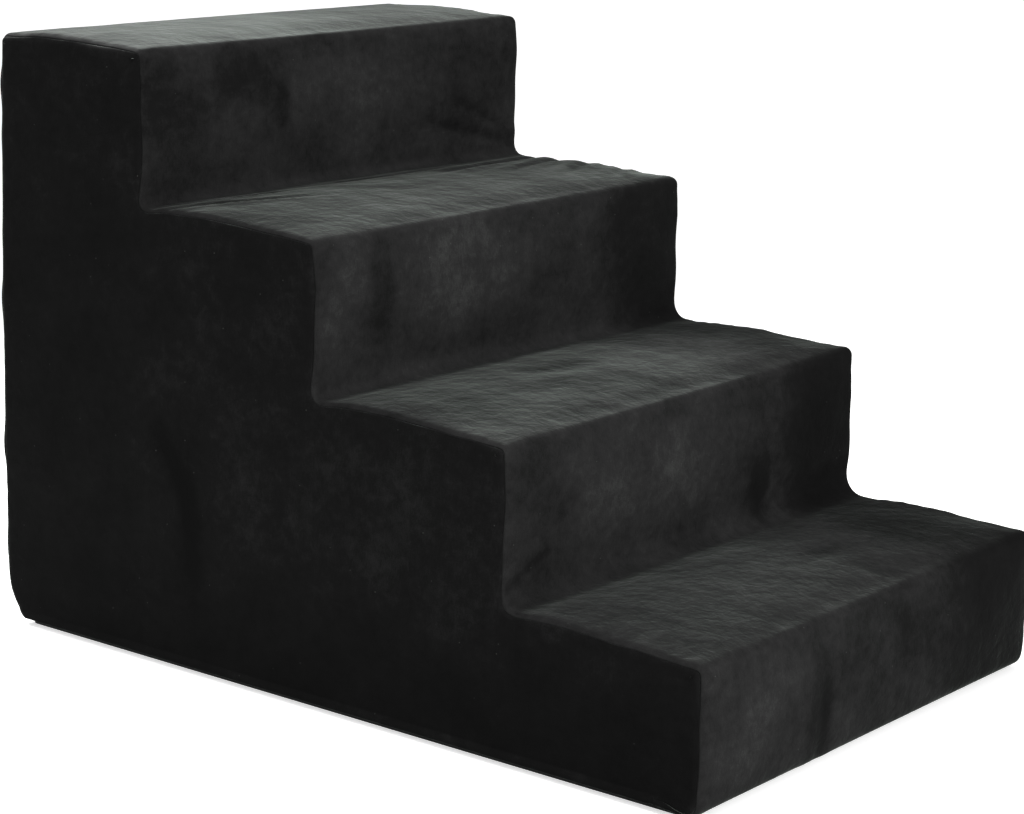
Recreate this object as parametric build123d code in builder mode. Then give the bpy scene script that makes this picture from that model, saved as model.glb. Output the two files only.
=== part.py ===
from build123d import *
import math
import os

# Foam pet stairs: four foam slabs glued into steps, inside a plush cover that zips off.
# Millimetres, +Z up. The origin is on the floor under the middle of the stairs.
# The lowest riser faces -Y, the steps climb towards +Y, and X runs across the width.

# Steps, each measured at the highest point of its crowned face
first_rise = 110.0
rise = 115.0
first_going = 160.0
going = 168.0
top_depth = 154.0
stair_width = 430.0

# How the stuffed cover swells and rounds
face_crown = 3.0
side_crown = 5.0
nosing_radius = 18.0
inner_corner_radius = 8.0
front_hem_radius = 10.0
back_hem_radius = 24.0
side_radius = 10.0

# Cloth of the cover
cover_thickness = 1.6
cover_gap = 0.3
seam_inset = 2.0
seam_gap = 0.2

# Non-slip underside: backing cloth with raised grip dots
base_cloth_thickness = 0.8
grip_height = 0.6

# Coil zip around both long sides and the back
tape_thickness = 0.5
cover_tape_width = 11.0
base_tape_turn = 4.0
chain_width = 4.2
coil_thickness = 1.8
chain_slit = 1.6
hem_clearance = 0.9
stop_length = 2.4
stop_thickness = 2.0
stop_set_back = 3.0
stop_overhang = 0.3
stop_radius = 0.4

# Zip slider and its pull
running_clearance = 0.3
slider_length = 9.0
slider_plate = 0.9
slider_nose_width = 7.4
slider_tail_width = 6.4
slider_corner_radius = 1.2
post_length = 2.0
post_width = 1.0
crown_width = 1.5
crown_bar = 0.8
crown_length = 5.4
crown_window = 3.0
pin_radius = 0.5
pull_length = 22.0
pull_width = 6.0
pull_neck_width = 5.0
pull_thickness = 1.0
pull_hole_radius = 1.4
pull_corner_radius = 1.8

# Foam hem: how the lowest slab tapers in to leave the zip its room
foam_hem_angle = 20.0
overrun = 20.0

goings = [first_going, going, going, top_depth]
rises = [first_rise, rise, rise, rise]
step_count = len(rises)
stair_length = sum(goings)
stair_height = sum(rises)
riser_y = [sum(goings[:step]) - stair_length / 2 for step in range(step_count)]
tread_z = [sum(rises[: step + 1]) for step in range(step_count)]
back_y = stair_length / 2

# Levels and planes of the zip, worked out from the base up and from the cover in
base_top = grip_height + base_cloth_thickness
slider_half = slider_nose_width / 2
chain_z = base_top + tape_thickness + running_clearance + slider_half
hem_z = chain_z + slider_half + hem_clearance
tape_top = chain_z + cover_tape_width
tape_x = stair_width / 2 - side_crown - cover_thickness - seam_gap
hem_drop = back_hem_radius + grip_height - hem_z
back_tuck = back_hem_radius - math.sqrt(back_hem_radius**2 - hem_drop**2)
tape_y = back_y - face_crown - back_tuck - cover_thickness - seam_gap
tape_corner = side_radius - cover_thickness - seam_gap
zip_front_y = riser_y[0] + face_crown + front_hem_radius


def step_corners(inset):
    """Nosing and inner corner of each step, for a skin set in from the cover's outside."""
    nosings = [
        (y + face_crown + inset, z - face_crown - inset)
        for y, z in zip(riser_y, tread_z)
    ]
    inner_corners = [
        (y + face_crown + inset, z - face_crown - inset)
        for y, z in zip(riser_y[1:], tread_z[:-1])
    ]
    return nosings, inner_corners


def nearest_corners(sketch, places):
    """The corner of a sketch at each of some places."""
    return [
        sketch.vertices().sort_by_distance(Vector(*place))[0] for place in places
    ]


def barrel(inset):
    """Block as wide as the stairs whose two long sides bow outwards half way up."""
    rim = stair_width / 2 - side_crown - inset
    belly = stair_width / 2 - inset
    with BuildPart() as block:
        with BuildSketch(Plane.XZ) as section:
            with BuildLine():
                ThreePointArc((rim, 0), (belly, stair_height / 2), (rim, stair_height))
                Line((rim, stair_height), (-rim, stair_height))
                ThreePointArc((-rim, stair_height), (-belly, stair_height / 2), (-rim, 0))
                Line((-rim, 0), (rim, 0))
            make_face()
        extrude(amount=stair_length, both=True)
    return block.part


def stair_form(inset, inner_radius):
    """Solid stairs with crowned, rounded faces, set in from the cover's outside."""
    nosings, inner_corners = step_corners(inset)
    bottom = grip_height + inset
    toe = (nosings[0][0], bottom)
    heel = (back_y - face_crown - inset, bottom)
    top_back = (heel[0], nosings[-1][1])
    with BuildPart() as form:
        with BuildSketch(Plane.YZ) as outline:
            with BuildLine():
                foot = toe
                for step, nosing in enumerate(nosings):
                    riser_middle = (nosing[0] - face_crown, (foot[1] + nosing[1]) / 2)
                    ThreePointArc(foot, riser_middle, nosing)
                    foot = (inner_corners + [top_back])[step]
                    tread_middle = ((nosing[0] + foot[0]) / 2, nosing[1] + face_crown)
                    ThreePointArc(nosing, tread_middle, foot)
                back_middle = (back_y - inset, (top_back[1] + bottom) / 2)
                ThreePointArc(top_back, back_middle, heel)
                Line(heel, toe)
            make_face()
            fillet(nearest_corners(outline, nosings + [top_back]), nosing_radius - inset)
            fillet(nearest_corners(outline, [toe]), front_hem_radius - inset)
            fillet(nearest_corners(outline, [heel]), back_hem_radius - inset)
            if inner_radius > 0:
                fillet(nearest_corners(outline, inner_corners), inner_radius)
        extrude(amount=stair_width, both=True)
        add(barrel(inset), mode=Mode.INTERSECT)
        side_faces = form.faces().sort_by(Axis.X)
        fillet(side_faces[0].edges() + side_faces[-1].edges(), side_radius - inset)
    return form.part


def side_prism(points):
    """Block through the whole width over an outline drawn in the side view."""
    with BuildPart() as prism:
        with BuildSketch(Plane.YZ):
            with BuildLine():
                Polyline(*points, close=True)
            make_face()
        extrude(amount=stair_width, both=True)
    return prism.part


def zip_plan(reach, front_y):
    """Plan of the zip's run, open to the front, at a distance out from the tape's face."""
    rear_y = tape_y + reach
    with BuildSketch() as plan:
        with Locations((0, (front_y + rear_y) / 2)):
            Rectangle(2 * (tape_x + reach), rear_y - front_y)
        fillet(plan.vertices().group_by(Axis.Y)[-1], tape_corner + reach)
    return plan.sketch


def zip_band(bottom, top, inner, outer, front_y):
    """Upright U-shaped band along both sides and the back, between two distances from the tape's face."""
    with BuildPart() as band:
        with BuildSketch(Plane.XY.offset(bottom)):
            add(zip_plan(outer, front_y))
            add(zip_plan(inner, front_y - overrun), mode=Mode.SUBTRACT)
        extrude(amount=top - bottom)
    return band.part


os.makedirs("parts", exist_ok=True)

# Skins of the stuffed cover and of the foam inside it
cover_outside = stair_form(0, inner_corner_radius)
cover_inside = stair_form(cover_thickness, inner_corner_radius + cover_thickness)
with BuildPart() as cover_shell:
    add(cover_outside)
    add(cover_inside, mode=Mode.SUBTRACT)
foam_inset = cover_thickness + cover_gap
foam_outside = stair_form(foam_inset, 0)

# Foam slabs, each cut off level at the tread that carries the next one
slab_front = riser_y[0] - overrun
slab_back = back_y + overrun
_, foam_corners = step_corners(foam_inset)


def slab_zone(step):
    """Side view of the space that one slab takes, its crowned riser and tread included."""
    if step == 0:
        below = [(slab_back, -overrun), (slab_front, -overrun)]
        front_y = slab_front
    else:
        y, z = foam_corners[step - 1]
        below = [(slab_back, z), (y, z), (y - overrun, z + overrun)]
        front_y = y - overrun
    if step == step_count - 1:
        above = [(front_y, stair_height + overrun), (slab_back, stair_height + overrun)]
    else:
        y, z = foam_corners[step]
        above = [(front_y, z + overrun), (y - overrun, z + overrun), (y, z), (slab_back, z)]
    return side_prism(below + above)


# The lowest slab tapers in at the bottom of its sides and back, behind the zip
hem_reach = -tape_thickness - cover_gap
hem_top = tape_top + cover_gap
hem_taper = (hem_top - base_top) * math.tan(math.radians(foam_hem_angle))


def foam_skirt(front_y):
    """Tapered lower part of the lowest slab, from a given front to the back."""
    with BuildPart() as skirt:
        with BuildSketch(Plane.XY.offset(hem_top)):
            add(zip_plan(hem_reach, front_y))
        with BuildSketch(Plane.XY.offset(base_top)):
            add(zip_plan(hem_reach - hem_taper, front_y))
        loft()
    return skirt.part


with BuildPart() as hem_limit:
    add(foam_skirt(slab_front))
    with BuildSketch(Plane.XY.offset(hem_top)):
        Rectangle(2 * stair_width, 2 * stair_length)
    extrude(amount=stair_height)

for step in range(step_count):
    with BuildPart() as foam_slab:
        add(foam_outside)
        add(slab_zone(step), mode=Mode.INTERSECT)
        if step == 0:
            add(hem_limit.part, mode=Mode.INTERSECT)
            add(foam_skirt(zip_front_y))
    foam_slab.part.label = f"foam_slab_{step + 1}"
    export_step(foam_slab.part, f"parts/foam_slab_{step + 1}.step")

# Side panels of the cover, outside the seam that runs just below the tread edges
hem_room = side_prism(
    [
        (zip_front_y, -overrun),
        (zip_front_y, hem_z),
        (slab_back, hem_z),
        (slab_back, -overrun),
    ]
)
for side_name, kept_side in (("left", Keep.BOTTOM), ("right", Keep.TOP)):
    with BuildPart() as side_panel:
        add(cover_shell.part)
        add(barrel(seam_inset), mode=Mode.SUBTRACT)
        add(hem_room, mode=Mode.SUBTRACT)
        split(bisect_by=Plane.YZ, keep=kept_side)
    side_panel.part.label = f"{side_name}_side_panel"
    export_step(side_panel.part, f"parts/{side_name}_side_panel.step")

# One strip of cloth runs up all the risers and treads and over the top's rear edge
seam_block = barrel(seam_inset + seam_gap)
back_seam_y = back_y - face_crown - seam_inset
low_z = first_rise / 2
strip_front = zip_front_y - seam_gap
strip_rear = back_seam_y - seam_gap
top_z = stair_height + overrun
with BuildPart() as step_strip:
    add(cover_shell.part)
    add(seam_block, mode=Mode.INTERSECT)
    add(
        side_prism(
            [
                (strip_front, -overrun),
                (strip_front, low_z),
                (strip_rear, low_z),
                (strip_rear, top_z),
                (slab_back, top_z),
                (slab_back, -overrun),
            ]
        ),
        mode=Mode.SUBTRACT,
    )
step_strip.part.label = "step_strip"
export_step(step_strip.part, "parts/step_strip.step")

# Back panel, from the seam under the top's rear edge down to the zip
with BuildPart() as back_panel:
    add(cover_shell.part)
    add(seam_block, mode=Mode.INTERSECT)
    add(
        side_prism(
            [
                (back_seam_y, top_z),
                (slab_back, top_z),
                (slab_back, hem_z),
                (tape_y - overrun, hem_z),
                (tape_y - overrun, low_z),
                (back_seam_y, low_z),
            ]
        ),
        mode=Mode.INTERSECT,
    )
back_panel.part.label = "back_panel"
export_step(back_panel.part, "parts/back_panel.step")

# Base panel: non-slip cloth, its grip dots taken as part of its thickness
with BuildPart() as base_panel:
    with BuildSketch():
        add(zip_plan(0, zip_front_y))
    extrude(amount=base_top)
base_panel.part.label = "base_panel"
export_step(base_panel.part, "parts/base_panel.step")

# Zip tapes: one rises behind the side and back panels, the other turns in onto the base
slit_half = chain_slit / 2
chain_half = chain_width / 2
with BuildPart() as cover_zip_tape:
    add(zip_band(chain_z + slit_half, tape_top, -tape_thickness, 0, zip_front_y))
cover_zip_tape.part.label = "cover_zip_tape"
export_step(cover_zip_tape.part, "parts/cover_zip_tape.step")

turn_reach = -tape_thickness - base_tape_turn
turn_top = base_top + tape_thickness
with BuildPart() as base_zip_tape:
    add(zip_band(base_top, chain_z - slit_half, -tape_thickness, 0, zip_front_y))
    add(zip_band(base_top, turn_top, turn_reach, 0, zip_front_y))
base_zip_tape.part.label = "base_zip_tape"
export_step(base_zip_tape.part, "parts/base_zip_tape.step")

# Zip coils on the faces of the tapes, from behind the stops
stop_y = zip_front_y + stop_set_back
coil_front_y = stop_y + stop_length
coil_levels = {
    "cover_zip_coil": (chain_z + slit_half, chain_z + chain_half),
    "base_zip_coil": (chain_z - chain_half, chain_z - slit_half),
}
for coil_name, (coil_bottom, coil_top) in coil_levels.items():
    with BuildPart() as zip_coil:
        add(zip_band(coil_bottom, coil_top, 0, coil_thickness, coil_front_y))
    zip_coil.part.label = coil_name
    export_step(zip_coil.part, f"parts/{coil_name}.step")

# Stops: one clamp on each coil where the zip closes, one bar across both at its far end
stop_middle_y = stop_y + stop_length / 2
stop_reach = chain_half + stop_overhang
stop_height = stop_reach - slit_half
stop_rise = (stop_reach + slit_half) / 2
with BuildPart() as zip_top_stops:
    with BuildSketch(Plane.YZ.offset(tape_x)):
        with Locations((stop_middle_y, chain_z - stop_rise), (stop_middle_y, chain_z + stop_rise)):
            Rectangle(stop_length, stop_height)
    extrude(amount=stop_thickness)
    fillet(zip_top_stops.faces().group_by(Axis.X)[-1].edges(), stop_radius)
zip_top_stops.part.label = "zip_top_stops"
export_step(zip_top_stops.part, "parts/zip_top_stops.step")

with BuildPart() as zip_bottom_stop:
    with BuildSketch(Plane.YZ.offset(-tape_x)):
        with Locations((stop_middle_y, chain_z)):
            Rectangle(stop_length, 2 * stop_reach)
    extrude(amount=-stop_thickness)
    fillet(zip_bottom_stop.faces().sort_by(Axis.X)[0].edges(), stop_radius)
zip_bottom_stop.part.label = "zip_bottom_stop"
export_step(zip_bottom_stop.part, "parts/zip_bottom_stop.step")

# Slider: an inner plate behind the tapes, an outer plate with flanges round the coils,
# a post between them, and a crown that holds the pull
slider_front = coil_front_y + running_clearance
slider_rear = slider_front + slider_length
inner_plate_x = tape_x - tape_thickness - running_clearance - slider_plate
flange_x = tape_x + running_clearance
outer_plate_x = tape_x + coil_thickness + running_clearance
slider_face_x = outer_plate_x + slider_plate
pin_x = slider_face_x + running_clearance + pull_thickness / 2
pin_y = (slider_front + slider_rear) / 2
window_top_x = pin_x + pin_radius + running_clearance
crown_top_x = window_top_x + crown_bar
channel_width = chain_width + 2 * running_clearance


def slider_outline():
    """Slider seen from outside: wide at the nose, where the coils part, narrow at the tail."""
    nose = slider_nose_width / 2
    tail = slider_tail_width / 2
    with BuildSketch() as outline:
        with BuildLine():
            Polyline(
                (slider_front, chain_z - nose),
                (slider_front, chain_z + nose),
                (slider_rear, chain_z + tail),
                (slider_rear, chain_z - tail),
                close=True,
            )
        make_face()
        fillet(outline.vertices(), slider_corner_radius)
    return outline.sketch


with BuildPart() as zip_slider:
    with BuildSketch(Plane.YZ.offset(inner_plate_x)):
        add(slider_outline())
    extrude(amount=slider_plate)
    with BuildSketch(Plane.YZ.offset(flange_x)):
        add(slider_outline())
    extrude(amount=slider_face_x - flange_x)
    with BuildSketch(Plane.YZ.offset(flange_x)):
        with Locations((pin_y, chain_z)):
            Rectangle(2 * slider_length, channel_width)
    extrude(amount=outer_plate_x - flange_x, mode=Mode.SUBTRACT)
    with BuildSketch(Plane.YZ.offset(inner_plate_x)):
        with Locations((slider_front, chain_z)):
            Rectangle(post_length, post_width, align=(Align.MIN, Align.CENTER))
    extrude(amount=slider_face_x - inner_plate_x)
    with BuildSketch(Plane.XY.offset(chain_z)) as crown_side:
        with Locations((slider_face_x, pin_y)):
            Rectangle(crown_top_x - slider_face_x, crown_length, align=(Align.MIN, Align.CENTER))
            fillet(crown_side.vertices().group_by(Axis.X)[-1], slider_corner_radius)
            Rectangle(
                window_top_x - slider_face_x,
                crown_window,
                align=(Align.MIN, Align.CENTER),
                mode=Mode.SUBTRACT,
            )
    extrude(amount=crown_width / 2, both=True)
zip_slider.part.label = "zip_slider"
export_step(zip_slider.part, "parts/zip_slider.step")

# Pull: a flat tab whose two arms straddle the crown, with a pin through its window
slot_width = crown_width + 2 * running_clearance
slot_reach = math.hypot(crown_length / 2, crown_top_x - pin_x) + running_clearance
pull_tip = pin_y + pull_length
with BuildPart() as zip_pull:
    with BuildSketch(Plane.YZ.offset(pin_x)) as tab:
        with BuildLine():
            Polyline(
                (pin_y, chain_z - pull_neck_width / 2),
                (pin_y, chain_z + pull_neck_width / 2),
                (pull_tip, chain_z + pull_width / 2),
                (pull_tip, chain_z - pull_width / 2),
                close=True,
            )
        make_face()
        fillet(tab.vertices().group_by(Axis.X)[-1], pull_corner_radius)
        with Locations((pin_y, chain_z)):
            Rectangle(2 * slot_reach, slot_width, mode=Mode.SUBTRACT)
        with Locations((pull_tip - pull_width / 2, chain_z)):
            Circle(pull_hole_radius, mode=Mode.SUBTRACT)
    extrude(amount=pull_thickness / 2, both=True)
    with BuildSketch(Plane.XY.offset(chain_z)):
        with Locations((pin_x, pin_y)):
            Circle(pin_radius)
    extrude(amount=pull_neck_width / 2, both=True)
zip_pull.part.label = "zip_pull"
export_step(zip_pull.part, "parts/zip_pull.step")

# Places that the record repeats
slide_travel = tape_y - tape_corner - slider_length - slider_rear
print("length", stair_length, "height", stair_height)
print("hem", hem_z, "chain", chain_z, "pin", pin_x, pin_y, "travel", slide_travel)
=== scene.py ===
"""Foam pet stairs in a black plush cover that zips off over a non-slip base.

Metres, +Z up. The lowest riser faces -Y, the steps climb towards +Y and X runs across.
The cover is worked out as one closed grid, stuffed by a cloth simulation and then cut
along its seams into the step strip, two side panels and the back panel.
"""

import logging
import math
from dataclasses import dataclass, field
from enum import Enum

import bpy
import numpy as np
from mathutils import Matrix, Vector


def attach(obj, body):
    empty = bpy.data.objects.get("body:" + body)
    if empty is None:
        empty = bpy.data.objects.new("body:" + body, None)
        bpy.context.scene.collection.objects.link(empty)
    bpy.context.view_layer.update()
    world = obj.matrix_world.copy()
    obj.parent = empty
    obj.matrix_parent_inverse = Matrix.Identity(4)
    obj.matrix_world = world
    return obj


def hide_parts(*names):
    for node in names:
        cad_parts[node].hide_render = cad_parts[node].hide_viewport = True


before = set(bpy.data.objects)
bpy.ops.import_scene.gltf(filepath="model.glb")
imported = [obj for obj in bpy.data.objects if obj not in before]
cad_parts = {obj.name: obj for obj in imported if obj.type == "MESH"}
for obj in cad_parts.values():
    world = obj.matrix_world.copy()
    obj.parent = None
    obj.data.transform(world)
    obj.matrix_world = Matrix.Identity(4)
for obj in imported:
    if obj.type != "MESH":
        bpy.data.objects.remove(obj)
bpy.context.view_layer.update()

LOG = logging.getLogger("stairs")
MM = 0.001
LEFT = -1
RIGHT = 1
STAIRS = "stairs"


class Held(Enum):
    """How a sheet of cloth is held."""

    STRETCHED = "stretched"
    LAID = "laid"


class Slot(Enum):
    """Material slots of the record."""

    FOAM = "foam"
    PLUSH = "plush_cover"
    GRIP = "grip_cloth"
    TAPE = "zip_tape"
    COIL = "zip_coil"
    METAL = "zip_metal"


# Shared helpers


def linear(code: str) -> tuple[float, float, float, float]:
    """Turns an sRGB hex colour into the linear values that a shader socket takes.

    Args:
        code: Colour such as "#1c1d1c".

    Returns:
        Red, green, blue and an alpha of 1.
    """
    parts = [int(code[place : place + 2], 16) / 255 for place in (1, 3, 5)]
    bent = [c / 12.92 if c <= 0.04045 else ((c + 0.055) / 1.055) ** 2.4 for c in parts]
    return (*bent, 1.0)


def add_node(
    tree: bpy.types.NodeTree, kind: str, settings: dict | None = None, links: dict | None = None
) -> bpy.types.Node:
    """Adds a node with its settings and links.

    Args:
        tree: Node tree that takes the node.
        kind: Blender's name of the node.
        settings: Values by property name, or by the name or number of an input.
        links: Output sockets by the name or number of the input that they feed.

    Returns:
        The new node.
    """
    node = tree.nodes.new(kind)
    for key, value in (settings or {}).items():
        if isinstance(key, str) and hasattr(node, key):
            setattr(node, key, value)
        else:
            node.inputs[key].default_value = value
    for key, socket in (links or {}).items():
        tree.links.new(socket, node.inputs[key])
    return node


def weighted_sum(tree: bpy.types.NodeTree, parts: list[tuple]) -> bpy.types.NodeSocket:
    """Adds sockets up, each times its weight.

    Args:
        tree: Node tree that takes the nodes.
        parts: Pairs of a socket and its weight.

    Returns:
        Socket of the sum.
    """
    total = None
    for socket, weight in parts:
        links = {0: socket}
        if total is not None:
            links[2] = total
        settings = {"operation": "MULTIPLY_ADD", 1: weight, 2: 0.0}
        total = add_node(tree, "ShaderNodeMath", settings, links).outputs[0]
    return total


def new_material(name: str) -> tuple[bpy.types.Material, bpy.types.NodeTree]:
    """Makes an empty node material.

    Args:
        name: Name of the material.

    Returns:
        The material and its node tree.
    """
    material = bpy.data.materials.new(name)
    material.use_nodes = True
    material.node_tree.nodes.clear()
    return material, material.node_tree


def finish_surface(tree: bpy.types.NodeTree, settings: dict, links: dict) -> None:
    """Ends a material in a Principled shader and its output.

    Args:
        tree: Node tree of the material.
        settings: Plain values of the shader's sockets.
        links: Sockets that feed the shader.
    """
    shader = add_node(tree, "ShaderNodeBsdfPrincipled", settings, links)
    add_node(tree, "ShaderNodeOutputMaterial", {}, {"Surface": shader.outputs[0]})


def object_places(tree: bpy.types.NodeTree) -> bpy.types.NodeSocket:
    """Places in metres, for patterns that don't follow the cloth."""
    return add_node(tree, "ShaderNodeTexCoord").outputs["Object"]


def blend(
    tree: bpy.types.NodeTree, share: bpy.types.NodeSocket, low: str | bpy.types.NodeSocket, high: str
) -> bpy.types.NodeSocket:
    """Mixes two colours.

    Args:
        tree: Node tree that takes the node.
        share: Socket with the share of the high colour.
        low: Hex colour or socket where the share is 0.
        high: Hex colour where the share is 1.

    Returns:
        Socket of the colour.
    """
    settings = {"data_type": "RGBA", 7: linear(high)}
    links = {0: share}
    if isinstance(low, str):
        settings[6] = linear(low)
    else:
        links[6] = low
    return add_node(tree, "ShaderNodeMix", settings, links).outputs[2]


def ranged(
    tree: bpy.types.NodeTree,
    value: bpy.types.NodeSocket,
    source: tuple[float, float],
    result: tuple[float, float],
) -> bpy.types.NodeSocket:
    """Carries a value over from one range to another and clamps it there.

    Args:
        tree: Node tree that takes the node.
        value: Socket to carry over.
        source: Low and high end of the value.
        result: What the two ends become.

    Returns:
        Socket of the result.
    """
    settings = {1: source[0], 2: source[1], 3: result[0], 4: result[1]}
    return add_node(tree, "ShaderNodeMapRange", settings, {0: value}).outputs[0]


def bumped(
    tree: bpy.types.NodeTree, height: bpy.types.NodeSocket, strength: float, depth: float
) -> bpy.types.NodeSocket:
    """Tilts the shading by a height.

    Args:
        tree: Node tree that takes the node.
        height: Socket of the height.
        strength: Share of the tilt that shows.
        depth: Depth in metres of a height of 1.

    Returns:
        Socket of the normal.
    """
    settings = {"Strength": strength, "Distance": depth}
    return add_node(tree, "ShaderNodeBump", settings, {"Height": height}).outputs[0]


def smooth_step(values: np.ndarray, low: float, high: float) -> np.ndarray:
    """Eases from 0 at low to 1 at high: 3t squared minus 2t cubed."""
    share = np.clip((values - low) / (high - low), 0.0, 1.0)
    return share * share * (3 - 2 * share)


def grid_index(grid: np.ndarray, wrap: bool = False) -> np.ndarray:
    """Vertex numbers on a grid of places.

    Args:
        grid: Rows and columns of places.
        wrap: Repeats the first column after the last, which closes every row.

    Returns:
        Rows and columns of numbers.
    """
    index = np.arange(grid.shape[0] * grid.shape[1]).reshape(grid.shape[:2])
    return np.concatenate([index, index[:, :1]], axis=1) if wrap else index


def closed_tube(index: np.ndarray) -> list[list[int]]:
    """Faces of a wrapped grid, with its first and last row closed by a face each."""
    return [*grid_quads(index).tolist(), index[0, :-1].tolist(), index[-1, :-1][::-1].tolist()]


def grid_quads(index: np.ndarray, flip: bool = False) -> np.ndarray:
    """Quads between the neighbours of an index grid.

    Args:
        index: Vertex numbers on a grid of rows and columns.
        flip: Turns the faces round.

    Returns:
        Rows of four vertex numbers.
    """
    quads = np.stack([index[:-1, :-1], index[:-1, 1:], index[1:, 1:], index[1:, :-1]], axis=-1)
    quads = quads.reshape(-1, 4)
    return quads[:, ::-1] if flip else quads


def make_piece(
    name: str, points: np.ndarray, faces: list | np.ndarray, plan: np.ndarray | None = None
) -> bpy.types.Object:
    """Makes a mesh object at the origin.

    Args:
        name: Name of the piece.
        points: Vertex places in metres.
        faces: Rows of vertex numbers.
        plan: Place of each vertex on the flat cloth, in metres.

    Returns:
        The object, shaded smooth.
    """
    mesh = bpy.data.meshes.new(name)
    rows = faces.tolist() if isinstance(faces, np.ndarray) else faces
    mesh.from_pydata(points.reshape(-1, 3).tolist(), [], rows)
    if plan is not None:
        layer = mesh.uv_layers.new(name="cloth")
        corners = np.empty(len(mesh.loops), dtype=np.int32)
        mesh.loops.foreach_get("vertex_index", corners)
        layer.data.foreach_set("uv", plan.reshape(-1, 2)[corners].astype(np.float32).ravel())
    mesh.shade_smooth()
    piece = bpy.data.objects.new(name, mesh)
    bpy.context.scene.collection.objects.link(piece)
    return piece


def apply_modifiers(piece: bpy.types.Object) -> None:
    """Bakes the modifiers of a piece into its mesh.

    Args:
        piece: Piece whose modifiers are baked.
    """
    depsgraph = bpy.context.evaluated_depsgraph_get()
    depsgraph.update()
    shown = piece.evaluated_get(depsgraph)
    mesh = bpy.data.meshes.new_from_object(shown, preserve_all_data_layers=True, depsgraph=depsgraph)
    piece.modifiers.clear()
    piece.data = mesh


def subdivide(piece: bpy.types.Object, levels: int = 1) -> None:
    """Rounds a piece with a subdivision surface and bakes it.

    Args:
        piece: Piece to round.
        levels: Times that each face is split.
    """
    modifier = piece.modifiers.new("rounding", "SUBSURF")
    modifier.levels = levels
    modifier.render_levels = levels
    apply_modifiers(piece)


def thicken(piece: bpy.types.Object, thickness: float) -> None:
    """Gives a sheet its thickness on the inner side of its faces.

    Args:
        piece: Open sheet.
        thickness: Thickness in metres.
    """
    modifier = piece.modifiers.new("thickness", "SOLIDIFY")
    modifier.thickness = thickness
    modifier.offset = -1
    modifier.use_even_offset = False
    apply_modifiers(piece)


def vertex_places(mesh: bpy.types.Mesh) -> np.ndarray:
    """Vertex places of a mesh as rows of three.

    Args:
        mesh: Mesh to read.

    Returns:
        Places in metres.
    """
    values = np.empty(len(mesh.vertices) * 3, dtype=np.float32)
    mesh.vertices.foreach_get("co", values)
    return values.reshape(-1, 3).astype(float)


def vertex_normals(mesh: bpy.types.Mesh) -> np.ndarray:
    """Vertex normals of a mesh as rows of three.

    Args:
        mesh: Mesh to read.

    Returns:
        Directions of length one.
    """
    values = np.empty(len(mesh.vertices) * 3, dtype=np.float32)
    mesh.vertex_normals.foreach_get("vector", values)
    return values.reshape(-1, 3).astype(float)


def set_places(mesh: bpy.types.Mesh, points: np.ndarray) -> None:
    """Moves the vertices of a mesh."""
    mesh.vertices.foreach_set("co", points.astype(np.float32).ravel())
    mesh.update()


def dress(piece: bpy.types.Object, material: bpy.types.Material, body: str = STAIRS) -> None:
    """Gives a piece its material and body.

    Args:
        piece: Piece to dress.
        material: Its finish.
        body: Body that it rides on.
    """
    piece.data.materials.clear()
    piece.data.materials.append(material)
    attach(piece, body)
    LOG.info("%s: %d faces", piece.name, len(piece.data.polygons))


# Sizes and outline of the stuffed stairs


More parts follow.
